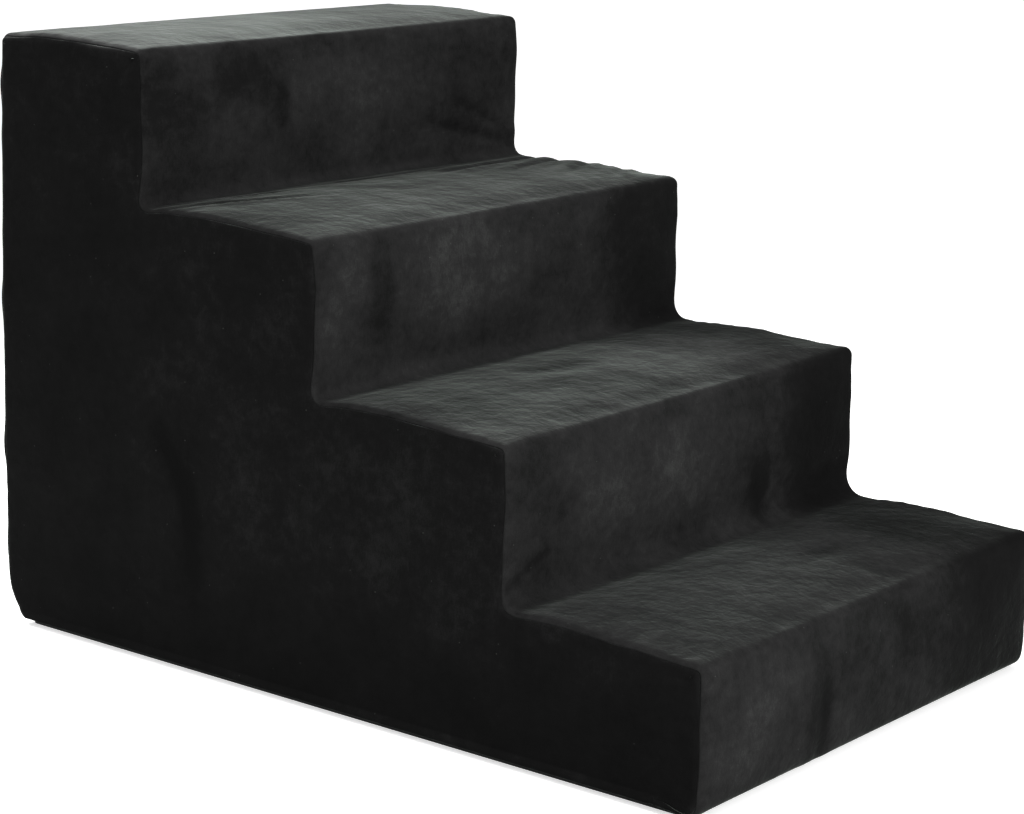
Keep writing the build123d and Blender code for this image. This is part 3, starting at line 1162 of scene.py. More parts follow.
    def _pins(self) -> np.ndarray:
        """How firmly each point is held, from 0 to 1.

        Returns:
            One weight at each point.
        """
        pins = np.zeros(len(self.points))
        inner = self.outline.inner_cells // 2
        rows = np.cumsum(self.outline.riser_rows)
        columns = np.cumsum(self.outline.tread_columns)
        for row, column in zip(rows[:-1], columns[:-1]):
            corner = row + column
            pins[self.strip[corner - inner : corner + inner + 1]] = 0.7
        pins[self.strip[:, 0]] = 1
        pins[self.strip[:, -1]] = 1
        pins[self.strip[0]] = 1
        pins[self.strip[-1]] = 1
        pins[self.strip[self.outline.strip_end]] = 1
        for side in (LEFT, RIGHT):
            bottom = self.blocks[side][:, 0]
            pins[bottom[bottom >= 0]] = 1
            pins[self.rings[side][:, -1]] = 1
        return pins


@dataclass
class Cover:
    """The sewn cover: panels cut from the stuffed bag, with turned-in seams and a stitched hem."""

    sizes: StairSizes
    outline: Outline
    bag: CoverBag
    cloth_thickness: float = 1.2 * MM
    seam_depth: float = 2.2 * MM
    seam_part: float = -0.15 * MM
    heel_reach: float = 307.5 * MM
    heel_bend: float = 30 * MM
    toe_nip: float = 2.1 * MM
    # Lighter strip and darker panels: partly the pile lying another way, partly painted light on the risers
    # and painted shade on the sides
    strip_nap_and_light: float = 0.10
    side_nap_and_shade: float = -0.035
    # Panels darker towards the floor: painted shade
    foot_shade_tone: float = -0.10
    # Band on the hem's lip made lighter: a painted highlight of light from the floor
    lip_highlight_tone: float = 0.10
    foot_shade_span: tuple[float, float] = (22 * MM, 120 * MM)
    lip_highlight_spans: tuple[tuple[float, float], ...] = ((5 * MM, 6.5 * MM), (10.5 * MM, 13 * MM))
    hem_profile: tuple[tuple[float, float], ...] = (
        (0.0, 0.14),
        (0.0, 0.30),
        (-0.3, 0.42),
        (0.4, 0.50),
        (0.8, 0.64),
        (0.8, 0.80),
        (0.2, 0.95),
        (-1.2, 1.0),
        (-2.4, 0.9),
        (-2.6, 0.6),
    )

    def build(self, material: bpy.types.Material) -> list[bpy.types.Object]:
        """Makes the four panels.

        Args:
            material: Plush of the cover.

        Returns:
            The panels.
        """
        panels = [self._strip(), self._back(), self._side(LEFT), self._side(RIGHT)]
        for panel in panels:
            subdivide(panel)
            self._work(panel)
            thicken(panel, self.cloth_thickness)
            dress(panel, material)
        return panels

    def _seam_frame(self, side: int) -> tuple[np.ndarray, np.ndarray]:
        """Normals at a side seam, and the direction along the surface towards the strip.

        Args:
            side: LEFT or RIGHT.

        Returns:
            Normals and directions, each as rows of three.
        """
        column = self.bag.strip[:, 0 if side == LEFT else -1]
        normals = self.bag.normals[column]
        angle = self.bag.lean[0]
        inward = np.full(len(normals), -side * math.sin(angle))
        return normals, np.column_stack([inward, self.outline.normals * math.cos(angle)])

    def _widened(self, rows: slice) -> tuple[np.ndarray, np.ndarray]:
        """Rows of the strip grid with a turned-in column at each side, and their plan.

        Args:
            rows: Stations of the panel.

        Returns:
            Places and plan as grids.
        """
        grid = self.bag.points[self.bag.strip[rows]]
        plan = np.empty((*grid.shape[:2], 2))
        plan[..., 0] = self.bag.across
        plan[..., 1] = self.outline.run[rows][:, None]
        for side in (LEFT, RIGHT):
            normals, toward = self._seam_frame(side)
            seam = grid[:, :1] if side == LEFT else grid[:, -1:]
            seam_out = seam + self.seam_part * toward[rows][:, None]
            if side == LEFT:
                grid[:, :1] = seam_out
            else:
                grid[:, -1:] = seam_out
            turned = seam - self.seam_depth * normals[rows][:, None]
            flat = plan[:, :1] if side == LEFT else plan[:, -1:]
            flat = flat + np.array([side * self.seam_depth, 0.0])
            grid = np.concatenate([turned, grid][::-side], axis=1)
            plan = np.concatenate([flat, plan][::-side], axis=1)
        return grid, plan

    def _turn_row(self, grid: np.ndarray, plan: np.ndarray, row: int, forward: int) -> tuple:
        """Turned-in row across the strip at the seam under the top's rear edge.

        Args:
            grid: Widened grid whose first or last row lies on the seam.
            plan: Plan of that grid.
            row: 0 or -1, the row on the seam.
            forward: 1 if the turned row leads the grid, -1 if it ends it.

        Returns:
            Place and plan of the turned row, each as one row.
        """
        station = self.outline.strip_end
        normal = np.array([0.0, *self.outline.normals[station]])
        travel = np.array([0.0, normal[2], -normal[1]])
        turned = grid[row] - self.seam_depth * normal
        grid[row] += forward * self.seam_part * travel
        flat = plan[row] - np.array([0.0, forward * self.seam_depth])
        return turned[None], flat[None]

    def _strip(self) -> bpy.types.Object:
        """Strip of cloth over all the risers and treads and the top's rear edge.

        Returns:
            The panel.
        """
        grid, plan = self._widened(slice(0, self.outline.strip_end + 1))
        turned, flat = self._turn_row(grid, plan, -1, -1)
        grid = np.concatenate([grid, turned])
        plan = np.concatenate([plan, flat])
        return make_piece("plush_step_strip", grid, grid_quads(grid_index(grid)), plan)

    def _hem_rows(
        self, top: np.ndarray, foot: np.ndarray, normals: np.ndarray, strength: np.ndarray
    ) -> np.ndarray:
        """Rows of the folded hem below the stitch line.

        Each row lies a share of the way from the stitch line to the foot, pushed outwards by the
        profile times the strength.

        Args:
            top: Places along the stitch line.
            foot: Places along the hem's lower edge.
            normals: Outward directions.
            strength: How much of the profile each place takes.

        Returns:
            Rows by places by three.
        """
        profile = np.array(self.hem_profile)
        out = profile[:, 0, None, None] * MM * strength[None, :, None] * normals[None]
        down = profile[:, 1, None, None] * (foot - top)[None]
        return top[None] + down + out

    def _foot(self, top: np.ndarray, low: np.ndarray) -> np.ndarray:
        """Lower edge of the hem below places on the stitch line.

        It is level above the slider's path and hangs over the coil where the slider never runs.
        Behind the heel's bend it goes in with the heel's round, to just behind the zip.

        Args:
            top: Places on the stitch line.
            low: 1 where the edge hangs over the coil.

        Returns:
            Places of the edge.
        """
        sizes = self.sizes
        foot = top.copy()
        level = sizes.hem_height + (sizes.lip_height - sizes.hem_height) * low
        foot[:, 2] = np.minimum(level, top[:, 2] - 2 * MM)
        drop = sizes.heel_radius + sizes.bottom - level
        rear = self.outline.points[-1, 0]
        rise = sizes.heel_radius + sizes.bottom - sizes.stitch_height
        centre = rear - math.sqrt(sizes.heel_radius**2 - rise**2)
        limit = np.maximum(centre + np.sqrt(sizes.heel_radius**2 - drop**2), self.heel_reach)
        bend = self.heel_reach - self.heel_bend
        behind = np.clip(top[:, 1] - bend, 0, None)
        foot[:, 1] += behind * ((limit - bend) / (rear - bend) - 1)
        return foot

    def _back(self) -> bpy.types.Object:
        """Back panel from the seam under the top's rear edge down to the zip.

        Returns:
            The panel.
        """
        grid, plan = self._widened(slice(self.outline.strip_end, None))
        turned, flat = self._turn_row(grid, plan, 0, 1)
        top = grid[-1]
        angle = self.bag.lean
        sign = np.sign(self.bag.across)
        lean = np.column_stack([sign * np.cos(angle), np.sin(angle), np.zeros(len(angle))])
        lean = np.concatenate([lean[:1], lean, lean[-1:]])
        low = 1 - smooth_step(top[:, 0], 150 * MM, 195 * MM)
        rows = self._hem_rows(top, self._foot(top, low), lean, np.full(len(top), 0.6))
        depth = np.array(self.hem_profile)[:, 1] * (self.sizes.stitch_height - self.sizes.hem_height)
        hem_plan = plan[-1][None] + np.stack([np.zeros(len(depth)), depth], axis=-1)[:, None]
        grid = np.concatenate([turned, grid, rows])
        plan = np.concatenate([flat, plan, hem_plan])
        return make_piece("plush_back_panel", grid, grid_quads(grid_index(grid)), plan)

    def _side(self, side: int) -> bpy.types.Object:
        """Stair-shaped side panel with its seam turned in and its hem folded.

        Args:
            side: LEFT or RIGHT.

        Returns:
            The panel.
        """
        bag = self.bag
        normals, toward = self._seam_frame(side)
        ring, block = bag.rings[side], bag.blocks[side]
        used = np.unique(np.concatenate([ring.ravel(), block[block >= 0]]))
        number = np.full(len(bag.points), -1)
        number[used] = np.arange(len(used))
        points = bag.points[used]
        leans = bag.normals[used]
        seam = bag.points[ring[0]]
        turned = seam - self.seam_depth * normals
        points[np.searchsorted(used, ring[0])] = seam - self.seam_part * toward
        turned_index = np.arange(len(turned)) + len(points)
        ring_index = np.concatenate([turned_index[None], number[ring]])
        block_index = np.where(block >= 0, number[np.maximum(block, 0)], -1)
        points = np.concatenate([points, turned])
        leans = np.concatenate([leans, normals])
        line = np.concatenate([block_index[:, 0], ring_index[-2::-1, -1]])
        top = points[line]
        strength = smooth_step(top[:, 1], top[0, 1] + 8 * MM, top[0, 1] + 45 * MM)
        rear = top[:, 1].max()
        strength *= 1 - 0.4 * smooth_step(top[:, 1], rear - 60 * MM, rear)
        low = np.full(len(top), 1.0 if side == LEFT else 0.0)
        rows = self._hem_rows(top, self._foot(top, low), leans[line], strength)
        hem_index = np.concatenate([line[None], grid_index(rows) + len(points)])
        points = np.concatenate([points, rows.reshape(-1, 3)])
        if side == RIGHT:
            points[:, 0] -= self._nip(points)
        parts = [grid_quads(index, flip=side == RIGHT) for index in (ring_index, block_index, hem_index)]
        quads = np.concatenate(parts)
        quads = quads[(quads >= 0).all(axis=1)]
        name = "plush_left_side" if side == LEFT else "plush_right_side"
        return make_piece(name, points, quads, points[:, 1:].copy())

    def _nip(self, points: np.ndarray) -> np.ndarray:
        """How far the far toe is drawn in at its foot, clear of the zip pull turned forward.

        Args:
            points: Places in metres.

        Returns:
            Inward move of each point.
        """
        y, z = (points / MM).T[1:]
        reach = smooth_step(y, -324, -317) * (1 - smooth_step(y, -309, -304))
        return self.toe_nip * reach * (1 - smooth_step(z, 9.5, 18))

    def _seam_line(self) -> np.ndarray:
        """Places along both side seams, each row with its distance along the seam.

        Returns:
            Rows of x, y, z and distance.
        """
        lines = []
        for column in (0, -1):
            places = self.bag.points[self.bag.strip[:, column]]
            fine = np.linspace(0, self.outline.run[-1], 900)
            dense = [np.interp(fine, self.outline.run, places[:, axis]) for axis in range(3)]
            lines.append(np.column_stack([*dense, fine + (0 if column == 0 else 0.37)]))
        return np.concatenate(lines)

    def _pucker(self, points: np.ndarray) -> np.ndarray:
        """Small gathers beside the seams.

        The gathers are sines along the seam, strongest 4 mm from it and gone by 22 mm.

        Args:
            points: Places in metres.

        Returns:
            Outward move of each point.
        """
        seam = self._seam_line()
        distance = np.full(len(points), np.inf)
        along = np.zeros(len(points))
        for chunk in np.array_split(seam, 18):
            gap = np.linalg.norm(points[:, None] - chunk[None, :, :3], axis=2)
            best = gap.argmin(axis=1)
            value = gap[np.arange(len(points)), best]
            nearer = value < distance
            distance = np.where(nearer, value, distance)
            along = np.where(nearer, chunk[best, 3], along)
        bell = np.exp(-(((distance - 5 * MM) / (8 * MM)) ** 2)) * smooth_step(distance, 0.5 * MM, 4 * MM)
        gather = np.sin(along / (2.6 * MM) + 2.2 * np.sin(along / (23 * MM)))
        swing = 0.5 + 0.5 * np.sin(along / (31 * MM) + 1.1) * np.sin(along / (13 * MM))
        return 0.32 * MM * bell * gather * swing

    def _work(self, panel: bpy.types.Object) -> None:
        """Presses folds and puckers into a panel and records how its pile lies, with painted light and shade
        in the same tone.

        Args:
            panel: Panel after its subdivision.
        """
        mesh = panel.data
        points = vertex_places(mesh)
        normals = vertex_normals(mesh)
        push = self._pucker(points)
        tone = np.full(len(points), self.strip_nap_and_light if panel.name == "plush_step_strip" else self.side_nap_and_shade)
        for fold in FOLDS:
            fold_push, fold_shade = fold.shape(points)
            push += fold_push
            tone += fold_shade
        set_places(mesh, points + push[:, None] * normals)
        for mark in NAP_AND_SHADE_MARKS:
            tone += mark.tone_at(points)
        if panel.name != "plush_step_strip":
            height = points[:, 2]
            # Painted highlight on the hem's lip
            lip = smooth_step(height, *self.lip_highlight_spans[0]) * (1 - smooth_step(height, *self.lip_highlight_spans[1]))
            # Painted shade towards the floor
            foot = 1 - smooth_step(height, *self.foot_shade_span)
            tone += self.foot_shade_tone * foot + self.lip_highlight_tone * lip
        tip = np.zeros(len(points))
        if panel.name == "plush_step_strip":
            tip = sum(lay.height_at(points) for lay in PILE_LAYS)
        for name, values in (("nap_and_painted_light", tone), ("tip", tip)):
            layer = mesh.attributes.new(name, "FLOAT", "POINT")
            layer.data.foreach_set("value", values.astype(np.float32))


# Foam core


@dataclass
class FoamCore:
    """Four foam slabs, glued face to face inside the cover."""

    sizes: StairSizes
    outline: Outline
    inset: float = 5.5 * MM
    zip_clearance: float = 298 * MM
    cell: float = 9 * MM
    columns: int = 25

    def build(self, material: bpy.types.Material) -> list[bpy.types.Object]:
        """Makes the slabs, each a side view carried across the width and closed at both ends.

        Args:
            material: Foam of the slabs.

        Returns:
            The slabs.
        """
        slabs = []
        for step in range(len(self.sizes.rises)):
            slab = self._slab(step)
            dress(slab, material)
            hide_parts(f"foam_slab_{step + 1}")
            slabs.append(slab)
        return slabs

    def _loop(self, step: int) -> np.ndarray:
        """Closed side view of a slab, in even steps.

        Args:
            step: Number of the step, from 0.

        Returns:
            Rows of y and z.
        """
        sizes, outline = self.sizes, self.outline
        skin = outline.points - self.inset * outline.normals
        rows = np.concatenate([[0], np.cumsum(outline.riser_rows)])
        columns = np.concatenate([[0], np.cumsum(outline.tread_columns)])
        first = rows[step] + columns[step]
        last = rows[step + 1] + columns[step + 1]
        low = 3 * MM if step == 0 else sizes.tread(step - 1) - sizes.face_crown - self.inset + 0.2 * MM
        top = sizes.tread(step) - sizes.face_crown - self.inset
        front = skin[first : last + 1]
        back = skin[last:]
        if step < len(sizes.rises) - 1:
            back = skin[outline.strip_end :]
            back = back[(back[:, 1] > low) & (back[:, 1] < top)]
            corner = np.array([[back[0, 0], top]])
            front = front[front[:, 1] >= low]
            front = front[: len(front) - outline.inner_cells // 2]
            back = np.concatenate([corner, back])
        front = front[front[:, 1] >= low]
        back = back[back[:, 1] > low]
        ends = np.array([[back[-1, 0], low], [front[0, 0], low]])
        loop = np.concatenate([front, back, ends, front[:1]])
        slope = 0.8 * np.clip(loop[:, 1] - sizes.stitch_height, 0, None)
        loop[:, 0] = np.minimum(loop[:, 0], self.zip_clearance + slope)
        spans = np.hypot(*np.diff(loop, axis=0).T)
        run = np.concatenate([[0.0], np.cumsum(spans)])
        even = np.linspace(0, run[-1], int(run[-1] / self.cell) + 1)[:-1]
        return np.column_stack([np.interp(even, run, loop[:, axis]) for axis in (0, 1)])

    def _slab(self, step: int) -> bpy.types.Object:
        """One slab: columns across the width, rounded over at both ends, and closed by rings.

        The rings of an end shrink the side view towards the slab's middle line.

        Args:
            step: Number of the step, from 0.

        Returns:
            The slab.
        """
        sizes = self.sizes
        loop = self._loop(step)
        low, high = loop.min(axis=0), loop.max(axis=0)
        middle = (low[1] + high[1]) / 2
        half_depth = (high[1] - low[1]) / 2
        spine = np.column_stack([
            np.clip(loop[:, 0], low[0] + half_depth, high[0] - half_depth),
            np.full(len(loop), middle),
        ])
        radius = 6 * MM
        half = sizes.half_width(loop[:, 1]) - self.inset
        skirt = np.clip(sizes.stitch_height + 1 * MM - loop[:, 1], 0, None) * math.tan(math.radians(22))
        half = half - skirt - np.where(loop[:, 1] < sizes.stitch_height + 1 * MM, 3 * MM, 0.0)
        turns = np.linspace(0, math.pi / 2, 4)
        rings = []
        length = np.linalg.norm(spine - loop, axis=1)
        for share in (1.0, 0.66, 0.33):
            rings.append((loop + (spine - loop) * share, half))
        for turn in turns:
            inset = radius * (1 - np.sin(turn)) / np.maximum(length, radius)
            rings.append((loop + (spine - loop) * inset[:, None], half - radius * (1 - np.cos(turn))))
        left = [np.column_stack([-x, place]) for place, x in rings]
        right = [np.column_stack([x, place]) for place, x in rings[::-1]]
        shares = np.linspace(-1, 1, self.columns)[1:-1]
        inner = [np.column_stack([share * (half - radius), loop]) for share in shares]
        grid = sizes.settled(np.stack(left + inner + right))
        quads = grid_quads(grid_index(grid, wrap=True), flip=True)
        slab = make_piece(f"foam_step_{step + 1}", grid, quads)
        weld = slab.modifiers.new("weld", "WELD")
        weld.merge_threshold = 0.05 * MM
        apply_modifiers(slab)
        return slab


# Non-slip base


@dataclass
class Base:
    """Non-slip underside: backing cloth with moulded grip dots."""

    sizes: StairSizes
    half_width: float = 208.2 * MM
    front: float = -312 * MM
    rear: float = 303 * MM
    corner: float = 8.2 * MM
    cloth_bottom: float = 0.6 * MM
    cloth_top: float = 1.4 * MM
    dot_pitch: float = 8 * MM
    dot_radius: float = 1.3 * MM
    dot_sides: int = 8
    edge_margin: float = 5 * MM

    def half_at(self, y: np.ndarray) -> np.ndarray:
        """Half the base's width: full, then down round the rear corners as a circle."""
        into = np.clip(y - (self.rear - self.corner), 0, self.corner)
        return self.half_width - self.corner + np.sqrt(self.corner**2 - into**2)

    def build(self, cloth: bpy.types.Material, dots: bpy.types.Material) -> list[bpy.types.Object]:
        """Makes the cloth and its dots.

        Args:
            cloth: Finish of the backing.
            dots: Finish of the dots.

        Returns:
            Cloth and dots.
        """
        y = np.concatenate([
            np.linspace(self.front, self.rear - self.corner, 50),
            self.rear - self.corner + self.corner * np.sin(np.linspace(0, math.pi / 2, 7))[1:],
        ])
        shares = np.linspace(-1, 1, 36)
        x = shares[None] * self.half_at(y)[:, None]
        level = np.full_like(x, self.cloth_bottom)
        grid = np.stack([x, np.broadcast_to(y[:, None], x.shape), level], axis=-1)
        quads = grid_quads(grid_index(grid), flip=True)
        panel = make_piece("base_cloth", grid, quads, grid[..., :2].copy())
        thicken(panel, self.cloth_top - self.cloth_bottom)
        dress(panel, cloth)
        grips = self._dots()
        dress(grips, dots)
        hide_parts("base_panel")
        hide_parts("base_panel")
        return [panel, grips]

    def _dots(self) -> bpy.types.Object:
        """Grip dots in staggered rows, each a low dome with a flat crown on the floor.

        Returns:
            All the dots as one piece.
        """
        row_pitch = self.dot_pitch * math.sqrt(3) / 2
        rows = np.arange(self.front + self.edge_margin, self.rear - self.edge_margin, row_pitch)
        centres = []
        for place, y in enumerate(rows):
            reach = float(self.half_at(np.array([y + self.edge_margin]))[0]) - self.edge_margin
            line = np.arange(-reach + (place % 2) * self.dot_pitch / 2, reach, self.dot_pitch)
            centres.append(np.column_stack([line, np.full(len(line), y)]))
        centre = np.concatenate(centres)
        angle = np.arange(self.dot_sides) * math.tau / self.dot_sides
        circle = np.column_stack([np.cos(angle), np.sin(angle)])
        profile = ((1.0, self.cloth_bottom + 0.1 * MM), (0.86, 0.25 * MM), (0.5, 0.0))
        rings = []
        for share, z in profile:
            spot = centre[:, None] + self.dot_radius * share * circle[None]
            rings.append(np.concatenate([spot, np.full((*spot.shape[:2], 1), z)], axis=2))
        points = np.stack(rings, axis=1)
        index = np.arange(points.shape[0] * points.shape[1] * points.shape[2]).reshape(points.shape[:3])
        wrapped = np.concatenate([index, index[:, :, :1]], axis=2)
        quads = np.stack(
            [wrapped[:, :-1, :-1], wrapped[:, 1:, :-1], wrapped[:, 1:, 1:], wrapped[:, :-1, 1:]], axis=-1
        ).reshape(-1, 4)
        caps = index[:, -1, ::-1]
        return make_piece("base_grip_dots", points, quads[:, ::-1].tolist() + caps.tolist())


# Coil zip


@dataclass
class ZipRoute:
    """Plan of the zip: back along the left side, across the rear and forward along the right."""

    half_width: float = 208.2 * MM
    front: float = -312 * MM
    rear: float = 303 * MM
    corner: float = 8.2 * MM

    @property
    def straight(self) -> float:
        """Length of one straight side."""
        return self.rear - self.corner - self.front

    @property
    def bend(self) -> float:
        """Length of one corner."""
        return self.corner * math.pi / 2

    @property
    def rear_straight(self) -> float:
        """Length of the stretch across the rear."""
        return 2 * (self.half_width - self.corner)

    @property
    def length(self) -> float:
        """Whole length."""
        return 2 * self.straight + 2 * self.bend + self.rear_straight

    def at(self, run: np.ndarray) -> tuple[np.ndarray, np.ndarray]:
        """Places and outward directions at distances along the route.

        Straight, quarter circle, straight, quarter circle, straight: the second half mirrors the
        first.

        Args:
            run: Distances in metres.

        Returns:
            Places and outward directions, each as rows of two.
        """
        mirrored = run > self.length / 2
        along = np.where(mirrored, self.length - run, run)
        turn = np.clip((along - self.straight) / self.corner, 0, math.pi / 2)
        across = np.clip(along - self.straight - self.bend, 0, None)
        ahead = np.minimum(along, self.straight)
        outward = np.column_stack([-np.cos(turn), np.sin(turn)])
        centre_x = -(self.half_width - self.corner)
        place = np.column_stack([centre_x + across, self.front + ahead]) + self.corner * outward
        sign = np.where(mirrored, -1.0, 1.0)
        place[:, 0] *= sign
        outward[:, 0] *= sign
        return place, outward

    def stations(self, step: float) -> np.ndarray:
        """Distances along the route, denser round the corners.

        Args:
            step: Distance between stations on the straights.

        Returns:
            Distances in metres.
        """
        first = np.arange(0, self.straight, step)
        bend = np.linspace(self.straight, self.straight + self.bend, 9)
        rear = np.arange(bend[-1] + step, self.length - bend[-1], step)
        half = np.concatenate([first, bend])
        return np.concatenate([half, rear, self.length - half[::-1]])


@dataclass
class CoilZip:
    """Nylon coil zip: two woven tapes with a coil of turns along each, and its metal parts."""

    route: ZipRoute
    chain_height: float = 5.9 * MM
    tape_thickness: float = 0.5 * MM
    base_top: float = 1.4 * MM
    tape_top: float = 16.9 * MM
    slit: float = 1.3 * MM
    chain_half: float = 2.1 * MM
    coil_thickness: float = 1.8 * MM
    pitch: float = 1.3 * MM
    wire_radius: float = 0.27 * MM
    wire_sides: int = 4
    turn_steps: int = 8
    coil_start: float = 5.6 * MM
    base_turn: float = 4.0 * MM

    def build(
        self, tape: bpy.types.Material, coil: bpy.types.Material, metal: bpy.types.Material
    ) -> list[bpy.types.Object]:
        """Makes tapes and coils, and dresses the stops, slider and pull of the frame.

        Args:
            tape: Finish of the tapes.
            coil: Finish of the coils.
            metal: Finish of the slider, pull and stops.

        Returns:
            Tapes and coils.
        """
        low_tape = self.chain_height - self.slit / 2 - 0.2 * MM
        high_tape = self.chain_height + self.slit / 2 + 0.2 * MM
        thick = self.tape_thickness
        upper = ((0.0, high_tape), (0.0, self.tape_top), (-thick, self.tape_top), (-thick, high_tape))
        floor = self.base_top + 0.02 * MM
        lower = (
            (0.0, floor),
            (0.0, low_tape),
            (-thick, low_tape),
            (-thick, floor + thick),
            (-thick - self.base_turn, floor + thick),
            (-thick - self.base_turn, floor),
        )
        pieces = [
            self._ribbon("woven_cover_tape", upper),
            self._ribbon("woven_base_tape", lower),
            self._coil("nylon_cover_coil", 1),
            self._coil("nylon_base_coil", -1),
        ]
        nodes = ("cover_zip_tape", "base_zip_tape", "cover_zip_coil", "base_zip_coil")
        for place, (piece, node) in enumerate(zip(pieces, nodes)):
            woven = place < 2
            dress(piece, tape if woven else coil)
            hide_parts(node)
        for node in ("zip_top_stops", "zip_bottom_stop", "zip_slider", "zip_pull"):
            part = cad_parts[node]
            part.data.materials.clear()
            part.data.materials.append(metal)
        return pieces

    def _profile(self, corners: tuple[tuple[float, float], ...]) -> np.ndarray:
        """Closed profile with points every millimetre or so between its corners.

        Args:
            corners: Corners of the section, each a reach outwards and a height.

        Returns:
            Rows of the same.
        """
        points = []
        loop = np.array(corners)
        for first, last in zip(loop, np.roll(loop, -1, axis=0)):
            count = max(1, round(float(np.hypot(*(last - first))) / (2 * MM)))
            shares = np.arange(count) / count
            points.append(first + shares[:, None] * (last - first))
        return np.concatenate(points)

    def _ribbon(self, name: str, corners: tuple[tuple[float, float], ...]) -> bpy.types.Object:
        """Profile of a tape carried along the route, with its ends closed.

        Args:
            name: Name of the tape.
            corners: Corners of the section, each a reach outwards and a height.

        Returns:
            The tape.
        """
        run = self.route.stations(7 * MM)
        place, outward = self.route.at(run)
        profile = self._profile(corners)
        grid = np.empty((len(run), len(profile), 3))
        grid[..., :2] = place[:, None] + profile[None, :, :1] * outward[:, None]
        grid[..., 2] = profile[None, :, 1]
        plan = np.empty((len(run), len(profile), 2))
        plan[..., 0] = run[:, None]
        plan[..., 1] = profile[None, :, 1] - profile[None, :, 0]
        return facing_out(make_piece(name, grid, closed_tube(grid_index(grid, wrap=True)), plan))

    def _coil(self, name: str, side: int) -> bpy.types.Object:
        """Coil beside the slit: a round wire wound as a flat helix along the route.

        The wire's middle goes round an ellipse in the plane across the route, once in each pitch,
        and its own round is a small circle square to its path.

        Args:
            name: Name of the coil.
            side: 1 above the slit, -1 below it.

        Returns:
            The coil.
        """
        usable = self.route.length - 2 * self.coil_start
        turns = int(usable / self.pitch)
        steps = np.arange(turns * self.turn_steps + 1)
        run = self.coil_start + steps * self.pitch / self.turn_steps
        run = run + (self.pitch / 2 if side < 0 else 0.0)
        turn = steps * math.tau / self.turn_steps
        place, outward = self.route.at(run)
        reach = self.coil_thickness / 2 - self.wire_radius
        high = self.chain_half - self.slit / 2 - 2 * self.wire_radius
        middle = self.chain_height + side * (self.slit / 2 + self.wire_radius + high / 2)
        out = self.coil_thickness / 2 + reach * np.cos(turn)
        up = middle + side * high / 2 * np.sin(turn)
        wire = np.column_stack([place + out[:, None] * outward, up])
        travel = np.gradient(wire, axis=0)
        travel /= np.linalg.norm(travel, axis=1)[:, None]
        ahead = np.column_stack([-outward[:, 1], outward[:, 0], np.zeros(len(run))])
        first = np.cross(travel, ahead)
        first /= np.linalg.norm(first, axis=1)[:, None]
        second = np.cross(travel, first)
        angle = np.arange(self.wire_sides) * math.tau / self.wire_sides
        ring = first[:, None] * np.cos(angle)[None, :, None] + second[:, None] * np.sin(angle)[None, :, None]
        grid = wire[:, None] + self.wire_radius * ring
        return facing_out(make_piece(name, grid, closed_tube(grid_index(grid, wrap=True))))


def facing_out(piece: bpy.types.Object) -> bpy.types.Object:
    """Turns all faces of a closed piece outwards if its signed volume is negative.

    Args:
        piece: Closed piece.

    Returns:
        The same piece.
    """
    mesh = piece.data
    mesh.calc_loop_triangles()
    corners = np.empty(len(mesh.loop_triangles) * 3, dtype=np.int32)
    mesh.loop_triangles.foreach_get("vertices", corners)
    spots = vertex_places(mesh)[corners.reshape(-1, 3)]
    volume = np.einsum("ij,ij->i", spots[:, 0], np.cross(spots[:, 1], spots[:, 2])).sum()
    if volume < 0:
        mesh.flip_normals()
    return piece


# Finishes


